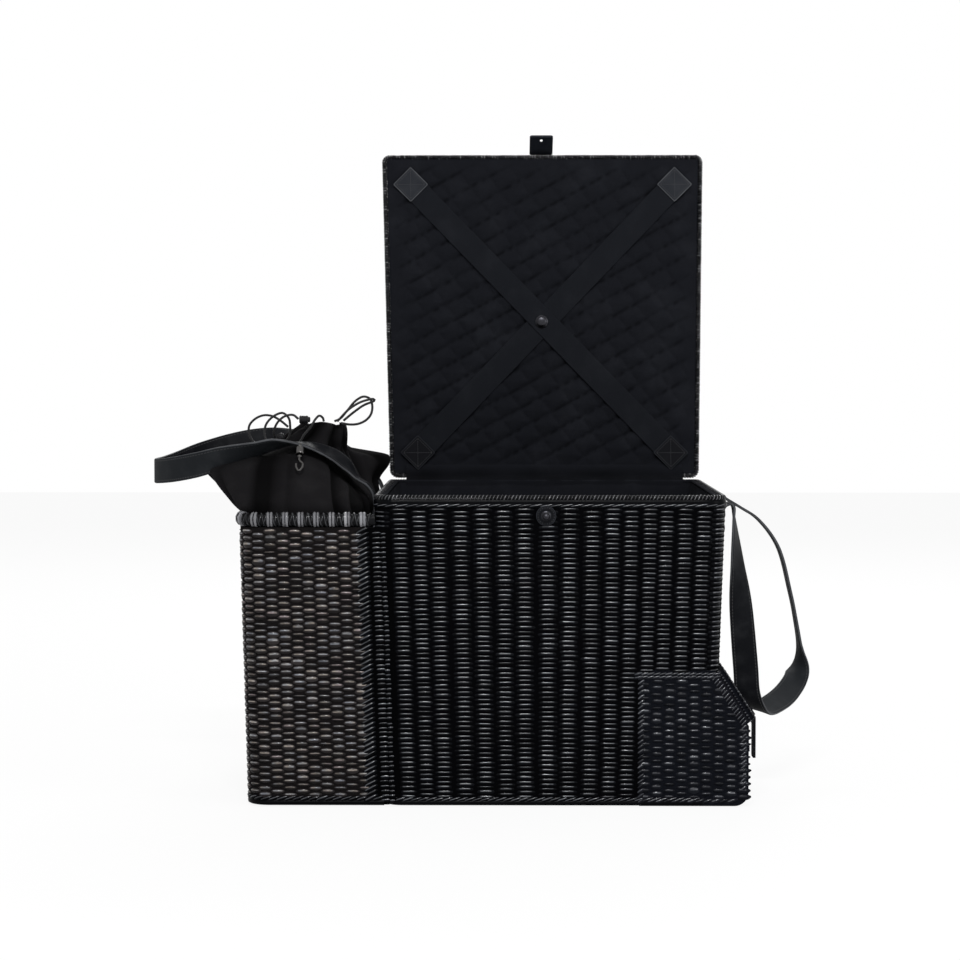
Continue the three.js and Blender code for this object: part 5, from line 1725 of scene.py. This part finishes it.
@dataclass(frozen=True)
class DrawstringBag:
    """The cloth bag over the bottles, gathered to a neck by its drawstring."""

    folds: int = 17
    neck_folds: int = 9
    front_folds: tuple[tuple[float, float, float, float], ...] = (
        (-297, -293, 17, 1.5), (-264, -264, 7, 0.35), (-213, -224, 7, 1.2), (-194, -206, 11, 1.0),
    )
    fold_depth: float = 6.5
    wing_level: float = 343.0
    wing_middle: float = 76.0
    wing_width: float = 34.0
    wing_reach: float = 45.0
    girth: float = 860.0
    top: float = 382.0
    casing: float = 374.0
    sections: tuple[tuple[float, ...], ...] = (
        (284.0, -303, -184, -160, 160, 8),
        (298.0, -320, -182.5, -163, 161, 8),
        (306.0, -328, -185, -161, 164, 6),
        (314.0, -338, -192, -148, 160, 5),
        (322.0, -348, -198, -136, 155, 4),
        (333.0, -362, -204, -122, 145, 3.2),
        (338.0, -363, -207, -117, 138, 3),
        (345.0, -336, -211, -108, 128, 2.6),
        (354.0, -304, -213, -85, 96, 2.3),
        (360.0, -290, -211, -74, 40, 2.2),
        (366.0, -281, -210, -70, 12, 2),
        (374.0, -269, -210, -70, 12, 2),
        (382.0, -257, -212, -70, 13, 2),
    )

    @staticmethod
    def corners_evened(turn: Array, half_x: float, half_y: float, power: float) -> Array:
        """Moves even steps round a square-cornered ring to even distances along it.

        Args:
            turn: Angles, from -pi to pi.
            half_x: Half the ring's width.
            half_y: Half its depth.
            power: Its roundness, 1 for an ellipse and less for square corners.

        Returns:
            The angles that lie at even distances.
        """
        fine = np.linspace(-math.pi, math.pi, 4001)
        cosine, sine = np.cos(fine), np.sin(fine)
        x = half_x * np.sign(cosine) * np.abs(cosine) ** power
        y = half_y * np.sign(sine) * np.abs(sine) ** power
        run = np.concatenate([[0.0], np.cumsum(np.hypot(np.diff(x), np.diff(y)))])
        return np.interp((turn + math.pi) / (2.0 * math.pi) * run[-1], run, fine)

    def folds_at(self, turn: Array, level: float, across: Array) -> Array:
        """Gives how deep the cloth falls in, round one level.

        Args:
            turn: Angles round the bag, at even distances along it.
            level: The level's height.
            across: Where each point lies from left to right.

        Returns:
            The depth, from 0 on a crest to 1 in a fold.
        """
        pull = float(smooth_step(345.0, 368.0, level))
        drift = 0.5 * np.sin(turn * 3.0 + 0.7) + 0.25 * np.sin(level / 16.0 + turn * 2.0)
        body = (0.5 - 0.5 * np.cos(turn * self.folds + 3.0 * drift)) ** 1.6
        from_front = np.abs(turn + math.pi / 2.0)
        body = body * smooth_step(0.42, 0.65, from_front)
        rise = (level - 298.0) / 58.0
        for low, high, width, depth in self.front_folds:
            line = low + (high - low) * rise
            away = (across - line) / width
            near = np.exp(-(np.where(away < 0.0, 3.0 * away, away) ** 2))
            body = body + depth * near * smooth_step(0.95, 0.7, from_front)
        neck = (0.5 - 0.5 * np.cos(turn * self.neck_folds + 1.5 * np.sin(turn * 2.0 + 0.6))) ** 1.3
        return np.clip(body * (1.0 - pull) + neck * pull, 0.0, 1.0)

    def surface(self, turn: Array, levels: Array, inset: float) -> tuple:
        """Gives points on the bag, and how deep the cloth is folded at each.

        Args:
            turn: Angles round the bag.
            levels: Heights.
            inset: How far inside the outer face they lie.

        Returns:
            The points and the folds' depths, a row for each height.
        """
        table = np.array(self.sections, float)
        fine = np.arange(table[0, 0] - 20.0, table[-1, 0] + 20.0)
        soft = np.exp(-((np.arange(-12, 13) / 4.5) ** 2))
        soft /= soft.sum()
        columns = (np.interp(fine, table[:, 0], column) for column in table[:, 1:].T)
        smoothed = [np.convolve(column, soft, "same") for column in columns]
        rings, depths = [], []
        for level in levels:
            left, right, front, back, square = (float(np.interp(level, fine, row)) for row in smoothed)
            half_x, half_y, power = (right - left) / 2.0, (back - front) / 2.0, 2.0 / square
            angle = self.corners_evened(turn, half_x, half_y, power)
            across = np.sign(np.cos(angle)) * np.abs(np.cos(angle)) ** power
            along = np.sign(np.sin(angle)) * np.abs(np.sin(angle)) ** power
            middle = (left + right) / 2.0
            fold = self.folds_at(turn, level, middle + half_x * across)
            depth = self.fold_depth * float(smooth_step(266.0, 300.0, level)) * fold + inset
            x = middle + (half_x - depth) * across
            y = (front + back) / 2.0 + (half_y - depth) * along
            high = (level - self.wing_level) / (24.0 if level < self.wing_level else 8.0)
            wing = np.exp(-(((y - self.wing_middle) / self.wing_width) ** 2) - high**2)
            x = x + self.wing_reach * wing * smooth_step(0.2, 0.7, across)
            rings.append(joined(x, y, level))
            depths.append(fold)
        return np.stack(rings), np.stack(depths)

    def sew(self, finishes: Finishes) -> None:
        """Makes the bag, outer face and inner face, as one cloth, with painted shade in its folds."""
        turn = np.linspace(-math.pi, math.pi, 541)[:-1]
        levels = np.concatenate([
            np.linspace(284.0, 300.0, 6)[:-1],
            np.linspace(300.0, 362.0, 46)[:-1],
            np.linspace(362.0, self.top, 18),
        ])
        skin = Skin()
        faces, fold_shades = [], []
        for rise, inset in ((levels, 0.0), (levels[::-1], 1.0)):
            face, fold = self.surface(turn, rise, inset)
            ruffle = smooth_step(self.casing, self.top, rise)[:, None]
            face[..., 2] += ruffle * (1.6 * np.sin(turn * 4.0 + 0.6) - 2.0)
            faces.append(face)
            # Painted shade: each fold's depth also darkens the cloth there
            fold_shades.append(joined(0.0, 0.0, 0.9 * fold))
        skin.grid(np.vstack(faces), wrap=True, fibre=np.vstack(fold_shades), loop=True)
        piece = skin.piece("gathered_bag", finishes.bag, "basket", "fabric", ["drawstring_bag"])
        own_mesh(piece)


@dataclass(frozen=True)
class Lid:
    """The lid: woven outside, quilted inside, crossed webbing bands and leather trim."""

    hinge: Spot = (0.0, 177.0, 313.6)
    lean: float = 2.0
    hinge_half: float = 175.0
    free_half: float = 181.5
    start: float = 0.2
    length: float = 366.0
    depth: float = 13.0
    corner: float = 9.0
    skew: float = -2.6
    wrap_pitch: float = 3.0
    band_free: tuple[float, float] = (149.0, 332.0)
    band_hinge: tuple[float, float] = (143.0, 29.0)
    patch_size: float = 28.0
    patch_thick: float = 1.15
    gusset_half: float = 156.0
    outer_face: float = 12.6
    quilt_low: float = 5.6
    quilt_high: float = 361.0
    quilt_inset: float = 5.4

    def at(self, across: Array, high: Array, deep: Array) -> Array:
        """Gives points of the lid.

        Args:
            across: Distances to the right.
            high: Distances from the hinge.
            deep: Distances from the inner face towards the outside.

        Returns:
            The points.
        """
        across, high, deep = np.broadcast_arrays(across, high, deep)
        across = across + self.skew * high / self.length
        lean = math.radians(self.lean)
        y = self.hinge[1] + deep * math.cos(lean) + high * math.sin(lean)
        z = self.hinge[2] - deep * math.sin(lean) + high * math.cos(lean)
        return joined(across, y, z)

    def edge_place(self, wall: Wall) -> Placer:
        """Gives the placer of the lid's edge roll."""
        roll = Roll(wall, -2.9, self.depth / 2.0, 2.9, 6.2)

        def place(along: Array, turn: Array, out: Array) -> Array:
            """Gives points on or off the roll."""
            flat = roll.place(along, turn, out)
            return self.at(flat[..., 0], flat[..., 1], flat[..., 2])

        return place

    def rim(self, finishes: Finishes) -> None:
        """Wraps the lid's edge."""
        outline = (
            (-self.hinge_half, self.start), (self.hinge_half, self.start),
            (self.free_half, self.length), (-self.free_half, self.length),
        )
        wall = Wall(outline, outline, 1.0, self.corner)
        place = self.edge_place(wall)
        length = wall.breaks()[-1]
        chance = np.random.default_rng(31)
        skin = Skin()
        turn = np.linspace(0.0, 20.0 * math.pi, 15)[:-1]
        along = np.linspace(0.0, length, 240)
        skin.grid(place(along[:, None], turn[None], np.array(-0.8)), wrap=True, tint=0.2)
        count = round(length / self.wrap_pitch)
        for start, low, high, steps, pale in ((0.0, -22.0, 24.0, 9, 1.0), (1.5, 24.0, 41.0, 7, 0.7)):
            pair = wraps(count, start, length / count, 2.2, low, high)
            strands(skin, place, *pair, Lay(1.2, 0.7, 0.9, 0.2, 0.3, steps), chance, (0.0, pale))
        skin.piece("lid_edge_wrap", finishes.lid_wrap, "lid", "weave", ["lid_rim"])

    def outside(self, finishes: Finishes) -> None:
        """Weaves the lid's outer face."""
        skin = Skin()
        chance = np.random.default_rng(32)
        weave = Weave(20.6, 2.45, Lay(1.95, 1.2, 2.5, 1.2, 0.35))
        stakes = even_stakes(-169.0, 169.0, 20.6)

        def place(along: Array, up: Array, out: Array) -> Array:
            """Gives points off the lid's outer face."""
            spread = 1.0 + up / self.length * (self.free_half / self.hinge_half - 1.0)
            return self.at(along * spread, up, self.outer_face + out)

        weave.cover(skin, place, stakes, 7.0, 361.0, chance)
        skin.piece("lid_weave", finishes.wicker, "lid", "weave")
        dress_node("lid_panel", finishes.board)

    def quilt(self, finishes: Finishes) -> None:
        """Quilts the lid's lining in slanted diamonds, smooth along its borders, with painted shade in
        broken dashes along the seams.
        """
        rows = np.linspace(self.quilt_low, self.quilt_high, 210)
        share = np.linspace(-1.0, 1.0, 210)
        spread = self.free_half - self.hinge_half
        half = (self.hinge_half + spread * rows / self.length - self.quilt_inset)[:, None]
        across = share[None] * half
        high = np.broadcast_to(rows[:, None], across.shape)
        first = np.abs(np.sin(math.pi * (across * math.sin(-0.5) + high * math.cos(0.5)) / 20.5))
        second = np.abs(np.sin(math.pi * (across * math.sin(0.95) + high * math.cos(0.95)) / 25.0))
        puff = np.minimum(first**0.85, 0.3 + 0.7 * second**0.7)
        puff *= 0.85 + 0.3 * ripples(joined(across, high, high) / 60.0)
        border = smooth_step(0.0, 26.0, half - np.abs(across))
        border *= smooth_step(0.0, 26.0, rows - self.quilt_low)[:, None]
        border *= smooth_step(0.0, 22.0, self.quilt_high - rows)[:, None]
        slack = ripples(joined(across, high, 0.0) / 90.0)
        deep = 3.3 + border * (3.4 * (1.0 - puff) - 1.5) + 0.5 * slack
        # Painted shade: darkness in dashes where the puffs dip to the seams, faded out at the borders
        dashes = ripples(joined(across / 11.0, high / 30.0, 0.0))
        fold_shade = border * smooth_step(0.55, 0.05, puff) * smooth_step(0.25, 0.75, dashes)
        fibre = joined(across, high, 0.6 * fold_shade)
        skin = Skin()
        skin.grid(self.at(across, high, deep), fibre=fibre)
        piece = skin.piece("lid_quilt", finishes.lining, "lid", "fabric", ["lid_lining"])

    def bands(self, finishes: Finishes) -> None:
        """Crosses the two webbing bands over the quilt."""
        for name, sign, hump in (("lid_band_over", -1.0, 1.55), ("lid_band_under", 1.0, 0.0)):
            start, stop = np.array(self.band_free), np.array(self.band_hinge)
            start, stop = start * (sign, 1.0), stop * (-sign, 1.0)
            share = np.linspace(0.0, 1.0, 60)[:, None]
            line = start + (stop - start) * share
            near = np.exp(-(((share - 0.5) / 0.055) ** 2))
            slack = 0.5 * np.sin(share * 19.0) * np.sin(math.pi * share)
            deep = 1.5 - hump * near + slack * 0.5
            path = self.at(line[:, :1], line[:, 1:], deep)[:, 0]
            heading = unit(path[-1] - path[0])
            across = np.cross(heading, self.facing())
            skin = Skin()
            band(skin, path, np.broadcast_to(across, path.shape), 27.0, 1.3)
            skin.piece(f"{name}_web", finishes.webbing, "lid", "webbing", [name])

    def facing(self) -> Array:
        """Gives the direction out of the lid's inner face."""
        lean = math.radians(self.lean)
        return np.array([0.0, -math.cos(lean), math.sin(lean)])

    def patches(self, finishes: Finishes) -> None:
        """Sews the four leather patches over the bands' ends, and sets the press stud."""
        chance = np.random.default_rng(33)
        for name, sign, (across, high), leather in (
            ("free_left", -1.0, self.band_free, finishes.leather),
            ("free_right", 1.0, self.band_free, finishes.leather),
            ("hinge_left", -1.0, self.band_hinge, finishes.stud_leather),
            ("hinge_right", 1.0, self.band_hinge, finishes.stud_leather),
        ):

            def place(along: Array, up: Array, out: Array) -> Array:
                """Gives points off the patch's seat."""
                return self.at(sign * across + along, high + up, 0.8 - out)

            top = lifted(place, self.patch_thick)
            skin = Skin()
            slab(skin, rounded(self.patch_size, self.patch_size, 1.5, 45.0), place, self.patch_thick)
            skin.piece(f"patch_{name}", leather, "lid", "leather", [f"lid_patch_{name}"])
            reach = 16.2
            corners = ((0, reach), (reach, 0), (0, -reach), (-reach, 0), (0, reach))
            skin = Skin()
            for line in (corners, ((-reach, 0), (reach, 0)), ((0, -reach), (0, reach))):
                stitches(skin, top, line, 2.6, chance, 0.35)
            skin.piece(f"patch_{name}_stitches", finishes.thread, "lid", "leather")
        skin = Skin()
        profile = [(7.2, 0.0), (7.2, 0.8), (6.7, 1.3), (6.0, 1.35), (5.7, 1.7), *dome(5.7, 1.7, 1.7)]
        turned(skin, profile, tuple(self.at(-2.0, 177.0, -1.1)), tuple(self.facing()))
        skin.piece("band_stud", finishes.dark_metal, "lid", "dark_metal", ["lid_band_snap"])

    def gusset(self, finishes: Finishes) -> None:
        """Sews the cloth that joins the liner's back edge to the lid's lining, darkened across its middle
        with painted shade.
        """
        line = (
            (0, 163.6, 304.0), (0, 164.6, 311.0), (0, 169.5, 314.6), (0, 174.6, 316.6),
            (0, 176.0, 320.0), (0, 177.6, 324.0), (0, 180.4, 329.0),
        )
        section = smooth_route(line, 26)
        across = np.linspace(-self.gusset_half, self.gusset_half, 90)
        points = np.repeat(section[:, None], len(across), axis=1)
        points[..., 0] = across[None]
        wave = ripples(points / 34.0) - 0.5
        middle = np.sin(math.pi * np.linspace(0.0, 1.0, len(section)))[:, None]
        points[..., 1] -= wave * 1.3 * middle
        points[..., 2] += wave * 1.6 * middle
        # Painted shade, darkest across the middle of the hanging cloth
        fold_shade = joined(0.0, 0.0, 0.85 * middle * (0.4 + 0.6 * ripples(points / 70.0)))
        skin = Skin()
        skin.grid(points, fibre=fold_shade)
        piece = skin.piece("hinge_cloth", finishes.lining, None, "fabric")
        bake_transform(piece)

    def tab(self, finishes: Finishes) -> None:
        """Finishes the closing tab and its sewn root."""
        for name in ("lid_tab_root", "lid_tab"):
            dress_node(name, finishes.leather, 0.5)


@dataclass(frozen=True)
class FrontStud:
    """The round leather patch and ball stud that the lid's tab closes over."""

    seat: Spot = (-4.0, -175.5, 292.4)
    lean: float = 1.83
    patch_radius: float = 10.0
    patch_thick: float = 2.0
    seam_radius: float = 8.2
    ball_radius: float = 4.0
    ball_middle: float = 8.8

    def make(self, finishes: Finishes) -> None:
        """Makes the patch, its stitches and the stud."""
        lean = math.radians(self.lean)
        up = (0.0, -math.sin(lean), math.cos(lean))
        face = Panel(self.seat, (1.0, 0.0, 0.0), up)
        out = tuple(np.cross((1.0, 0.0, 0.0), up))
        turn = np.linspace(0.0, 2.0 * math.pi, 41)
        ring = self.patch_radius * joined(np.cos(turn[:-1]), np.sin(turn[:-1]))
        skin = Skin()
        slab(skin, ring, face.place, self.patch_thick)
        skin.piece("stud_patch", finishes.stud_leather, "basket", "leather", ["front_stud_patch"])
        skin = Skin()
        top = lifted(face.place, self.patch_thick)
        line = self.seam_radius * joined(np.cos(turn[::2]), np.sin(turn[::2]))
        stitches(skin, top, line, 2.6, np.random.default_rng(41), 0.3)
        skin.piece("stud_patch_stitches", finishes.thread, "basket", "leather")
        skin = Skin()
        profile = [(5.2, 1.9), (5.2, 2.4), (4.6, 2.9), (2.3, 3.1), (2.1, 4.6)]
        reach, middle = self.ball_radius, self.ball_middle
        ball = np.linspace(0.65, 3.0, 12)
        profile += [(reach * math.sin(a), middle - reach * math.cos(a)) for a in ball]
        turned(skin, profile, self.seat, out)
        skin.piece("ball_stud", finishes.dark_metal, "basket", "dark_metal", ["front_stud"])


@dataclass(frozen=True)
class Pocket:
    """The small compartment low on the front right: woven walls, sloped lid, tab and snap."""

    right: float = 199.5
    corner: float = 14.0
    slope: float = 57.3
    slope_x: float = 164.6
    slope_z: float = 135.5
    hinge: Spot = (172.4, -134.6, 140.5)
    stake: float = 12.8
    row: float = 3.35

    def inside(self, x: Array, z: Array, margin: float) -> Array:
        """Says which places lie inside the front's outline.

        Args:
            x: Places to the right.
            z: Heights.
            margin: How far inside the outline they lie.

        Returns:
            True for each place inside.
        """
        angle = math.radians(self.slope)
        x_part, z_part = (x - self.slope_x) * math.sin(angle), (z - self.slope_z) * math.cos(angle)
        under = x_part + z_part < -margin
        middle = self.right - self.corner
        far = np.hypot(np.maximum(x - middle, 0.0), np.maximum(self.corner - z, 0.0))
        return under & (far < self.corner - margin * 0.5) & (z < POCKET_TOP - margin) & (z > margin)

    def weave(self, finishes: Finishes) -> None:
        """Weaves the front, the right side and the back, and binds their edges."""
        chance = np.random.default_rng(51)
        weave = Weave(self.stake, self.row, Lay(2.35, 1.4, 2.6, 1.5, 0.75, 7, 0.25), 0.62)
        rise = unit(np.array([0.0, -(BOX_BRIM_HALF - BOX_FOOT_HALF) / BOX_HEIGHT, 1.0]))
        front = Panel((POCKET_LEFT, -BOX_FOOT_HALF, 0.0), (1.0, 0.0, 0.0), tuple(rise))
        skin = Skin()

        def keep(along: Array, up: Array) -> Array:
            """Keeps the strands inside the front's outline."""
            return self.inside(along + POCKET_LEFT, up, 4.0)

        stakes = even_stakes(-1.0, 110.0, self.stake)
        weave.cover(skin, front.place, stakes, 9.0, 128.0, chance, keep)
        side = Panel((self.right, -BOX_FOOT_HALF, 0.0), (0.0, 1.0, 0.0), (0.0, 0.0, 1.0))
        flat = Weave(self.stake, self.row, Lay(2.5, 0.8, 1.2, -0.5, 0.4))
        flat.cover(skin, side.place, even_stakes(0.0, 65.0, self.stake), 15.0, 83.0, chance)
        back = Panel((self.right, POCKET_BACK, 0.0), (-1.0, 0.0, 0.0), (0.0, 0.0, 1.0))
        weave.cover(skin, back.place, even_stakes(3.0, 30.0, self.stake), 15.0, 80.0, chance)
        along = np.arange(17) * 6.0 - 6.0
        along = along[along + POCKET_LEFT < 166.0]
        for drop in (4.7, 7.9):
            brim = slanted(along, POCKET_TOP - drop, 9.5, 2.4)
            strands(skin, front.place, *brim, Lay(1.8, 1.1, 1.3, 1.7, 0.45), chance, (0.2, 1.0))
        upright = slanted(-1.6, np.arange(3.0, 131.0, 5.0), 6.4, 4.6)
        strands(skin, front.place, *upright, Lay(1.9, 1.1, 1.2, 1.7, 0.45), chance)
        foot = slanted(np.arange(-2.0, 92.0, 8.0), 3.2, 13.0, 4.0)
        strands(skin, front.place, *foot, Lay(1.7, 1.1, 1.3, 1.6, 0.5), chance)
        self.edges(skin, front, chance)
        skin.piece("pocket_weave", finishes.pocket_wicker, "basket", "weave")
        dress_node("pocket_basket", finishes.pocket_board)

    def edges(self, skin: Skin, front: Panel, chance: Chance) -> None:
        """Binds the front's sloped and upright right edges with slanted strands.

        Args:
            skin: Where they are added.
            front: The front's face.
            chance: The seeded source of unevenness.
        """
        angle = math.radians(self.slope)
        run = np.arange(2.0, 60.0, 3.6)
        x = self.slope_x - POCKET_LEFT + run * math.cos(angle)
        z = self.slope_z - run * math.sin(angle)
        sloped = slanted(x - 4.6, z - 3.8, 5.0, 5.8)
        strands(skin, front.place, *sloped, Lay(1.6, 1.0, 1.1, 1.6, 0.35), chance, (0.3, 1.0))
        z = np.arange(18.0, 80.0, 4.4)
        upright = slanted(self.right - POCKET_LEFT - 7.2, z - 2.0, 5.0, 4.4)
        strands(skin, front.place, *upright, Lay(1.9, 1.0, 1.1, 1.6, 0.35), chance, (0.3, 1.0))

    def lid(self, finishes: Finishes) -> None:
        """Weaves the sloped lid and finishes its lining, tab and snap."""
        angle = math.radians(self.slope)
        start = (self.hinge[0], self.hinge[1] - 33.6, self.hinge[2])
        face = Panel(start, (0.0, 1.0, 0.0), (math.cos(angle), 0.0, -math.sin(angle)))

        def place(along: Array, up: Array, out: Array) -> Array:
            """Gives points off the lid's top."""
            return face.place(along, up, -out)

        chance = np.random.default_rng(52)
        skin = Skin()
        weave = Weave(self.stake, self.row, Lay(2.6, 1.3, 2.2, 1.3, 0.4))
        weave.cover(skin, place, even_stakes(1.0, 66.0, self.stake), 6.0, 60.0, chance)
        for edge in (0.8, 66.4):
            leaning = slanted(edge - 2.6, np.arange(4.0, 60.0, 4.0), 5.2, 3.4)
            strands(skin, place, *leaning, Lay(1.8, 1.2, 1.4, 1.4, 0.3), chance)
        short = slanted(-0.7, np.arange(3.4, 62.0, 3.2) - 1.2, 3.2, 2.4)
        strands(skin, place, *short, Lay(1.7, 1.4, 1.6, -3.6, 0.3), chance)
        bead = place(np.array(1.6), np.array([2.2, 61.8]), np.array(-7.6))
        route = smooth_route([bead[0], bead.mean(axis=0), bead[1]], 12)
        band(skin, route, np.tile((0.0, 1.0, 0.0), (12, 1)), 3.2, 5.4)
        skin.piece("pocket_lid_weave", finishes.pocket_wicker, "pocket_cover", "weave")
        dress_node("pocket_lid", finishes.pocket_board, 0.8)
        cloth = finishes.lining
        pad = soft_copy("pocket_lid_lining", "pocket_lid_pad", cloth, "pocket_cover", 1.2, 0.5, 22.0)
        liner = soft_copy("pocket_liner", "pocket_liner_cloth", cloth, "basket", 1.3, 0.6, 40.0)
        dress_node("pocket_tab_root", finishes.stud_leather, 0.5)
        dress_node("pocket_tab", finishes.stud_leather, 0.5)
        dress_node("pocket_snap", finishes.dark_metal, 0.4)


@dataclass(frozen=True)
class StrapHandle:
    """A leather strap loop with riveted ends on one side of the basket."""

    side: str
    ends: tuple[tuple[Spot, ...], ...]
    loop: tuple[tuple[float, ...], ...]
    blend: tuple[Spot, Spot]
    width: float = 26.0
    thick: float = 3.0
    rivet_radius: float = 4.0

    @property
    def sign(self) -> float:
        """1 on the right side and -1 on the left."""
        return 1.0 if self.side == "right" else -1.0

    def make(self, finishes: Finishes) -> None:
        """Makes the loop, its two roots and their rivets."""
        skin = Skin()
        fine = smooth_route(self.loop, 260)
        band(skin, fine[:, :3], fine[:, 3:], self.width, self.thick)
        node = f"{self.side}_handle_loop"
        loop = skin.piece(f"{self.side}_strap", finishes.strap, None, "leather", [node])
        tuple(self.blend[0])
        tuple(self.blend[1])
        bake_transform(loop)
        for name, end in zip(("front", "back"), self.ends):
            skin = Skin()
            path = smooth_route(end, 24)
            across = np.broadcast_to(np.array([0.0, self.sign, 0.0]), path.shape)
            band(skin, path, across, self.width, self.thick)
            node = f"{self.side}_handle_end_{name}"
            skin.piece(f"{self.side}_root_{name}", finishes.strap, "basket", "leather", [node])
        for number in ("front_1", "front_2", "back_1", "back_2"):
            node = f"{self.side}_handle_rivet_{number}"
            skin = Skin()
            radius = self.rivet_radius
            profile = [(radius, -0.6), (radius, 0.3), *dome(radius, 0.3, 1.4)]
            turned(skin, profile, node_middle(node), (self.sign, 0.0, 0.02), 28)
            name = f"{self.side}_rivet_{number}"
            skin.piece(name, finishes.dark_metal, "basket", "dark_metal", [node])


@dataclass(frozen=True)
class Clasp:
    """The small swivel clasp that hangs from the front of the left strap."""

    def make(self, finishes: Finishes) -> None:
        """Finishes the bell and the hook."""
        for name in ("clasp_bell", "clasp_hook"):
            dress_node(name, finishes.metal, 0.25)


def node_middle(name: str) -> Spot:
    """Gives the middle of a CAD node, in millimetres."""
    low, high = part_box(name)
    return tuple((np.array(low) + np.array(high)) / 2.0 / MM)


def handles() -> tuple[StrapHandle, StrapHandle]:
    """Lays out the two strap handles.

    Returns:
        The right and the left handle.
    """
    right_loop = (
        (186.4, -90, 300.6, 0, 1, 0), (189.4, -90, 297.5, 0, 1, 0),
        (190.5, -90, 285, 0.1, 1, 0), (194, -91, 240, 0.55, 0.85, 0),
        (198.5, -92, 186, 1, 0.3, 0), (203, -92, 132, 1, 0.05, 0), (206, -90, 101, 1, 0, -0.05),
        (217, -70, 85, 0.96, -0.1, -0.25), (240, -22, 85, 0.82, -0.2, -0.52),
        (262, 32, 93, 0.72, -0.3, -0.63), (275, 72, 106, 0.45, -0.75, -0.5),
        (279, 89, 130, 0.1, -1, -0.1), (274, 90, 165, 0, -1, 0), (268, 90, 194, 0, -1, 0),
        (254, 90, 244, 0, -1, 0), (232, 90, 273.5, 0, -1, 0), (214, 90, 285.5, 0, -1, 0),
        (199, 90, 294.5, 0, -1, 0), (195.8, 90, 296.6, 0, -1, 0),
    )
    left_loop = (
        (-196.3, -90, 325.3, 0, -1, 0), (-199, -90, 328.5, 0, -1, -0.15),
        (-207, -90, 339, 0, -0.88, -0.47),
        (-220, -90, 349.5, 0, -0.9, -0.43), (-243, -91, 359, 0, -0.97, -0.2),
        (-264, -92, 362, 0, -1, 0.1), (-283, -92, 360.5, 0, -0.9, 0.45),
        (-301, -93, 355.5, 0, -0.8, 0.6), (-320, -94, 350.5, 0, -0.6, 0.8),
        (-339, -93, 346, 0, -0.42, 0.9), (-362, -88, 339.5, 0, -0.25, 0.97), (-388, -68, 334, 0, -0.1, 1),
        (-408, -36, 331, 0, 0, 1), (-416, 0, 330, 0, 0, 1), (-412, 36, 331, 0, 0, 1),
        (-398, 66, 336, 0, 0.05, 1), (-376, 84, 344.5, 0, 0.1, 1), (-348, 91, 353, 0, 0.15, 1),
        (-325, 92, 358.5, 0, 0.3, 0.95), (-301, 92, 362.5, 0, 0.6, 0.8), (-275, 92, 364.5, 0, 0.9, 0.4),
        (-243, 91, 360.5, 0, 0.97, -0.2), (-220, 90, 349.5, 0, 0.9, -0.43),
        (-207, 90, 339, 0, 0.88, -0.47), (-199, 90, 328.5, 0, 1, -0.15),
        (-196.3, 90, 325.3, 0, 1, 0),
    )
    right_ends = (
        ((175.9, -90, 268), (177.4, -90, 282), (178.4, -90, 293), (181.0, -90, 298.0), (186.2, -90, 300.4)),
        ((175.9, 90, 268), (177.4, 90, 282), (179.5, 90, 290.5), (186.0, 90, 294.0), (196, 90, 296.8)),
    )
    left_ends = tuple(
        (
            (-176.2, y, 268), (-177.4, y, 282), (-178.3, y, 295), (-179.6, y, 308), (-185.0, y, 318),
            (-196.5, y, 325.5),
        )
        for y in (-90, 90)
    )
    right_bend = ((0.191, 0, 0.2928), (0.2009, 0, 0.2829))
    left_bend = ((-0.1955, 0, 0.320), (-0.200, 0, 0.330))
    return (
        StrapHandle("right", right_ends, right_loop, right_bend),
        StrapHandle("left", left_ends, left_loop, left_bend),
    )


def main() -> None:
    """Builds the scene, piece by piece."""
    logging.basicConfig(level=logging.INFO, format="%(message)s")
    studio = Studio()
    studio.camera()
    finishes = Finishes.build()
    strings = Drawstrings()
    strings.lay_cords(finishes)
    strings.locks(finishes)
    LOG.info("drawstrings and locks made")
    box = MainBox()
    box.weave(finishes)
    box.rim(finishes)
    box.liner(finishes)
    LOG.info("main box made")
    bottle = BottleBasket()
    bottle.weave(finishes)
    bottle.rim(finishes)
    bottle.liner(finishes)
    LOG.info("bottle basket made")
    DrawstringBag().sew(finishes)
    LOG.info("drawstring bag made")
    lid = Lid()
    lid.rim(finishes)
    lid.outside(finishes)
    lid.quilt(finishes)
    lid.bands(finishes)
    lid.patches(finishes)
    lid.gusset(finishes)
    lid.tab(finishes)
    LOG.info("lid made")
    FrontStud().make(finishes)
    pocket = Pocket()
    pocket.weave(finishes)
    pocket.lid(finishes)
    LOG.info("pocket made")
    for handle in handles():
        handle.make(finishes)
    Clasp().make(finishes)
    LOG.info("handles and clasp made")
    studio.dress()


if __name__ == "__main__":
    main()
    boxes = (box_at_load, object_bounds())
    [[[float(part) for part in corner] for corner in ends] for ends in boxes]
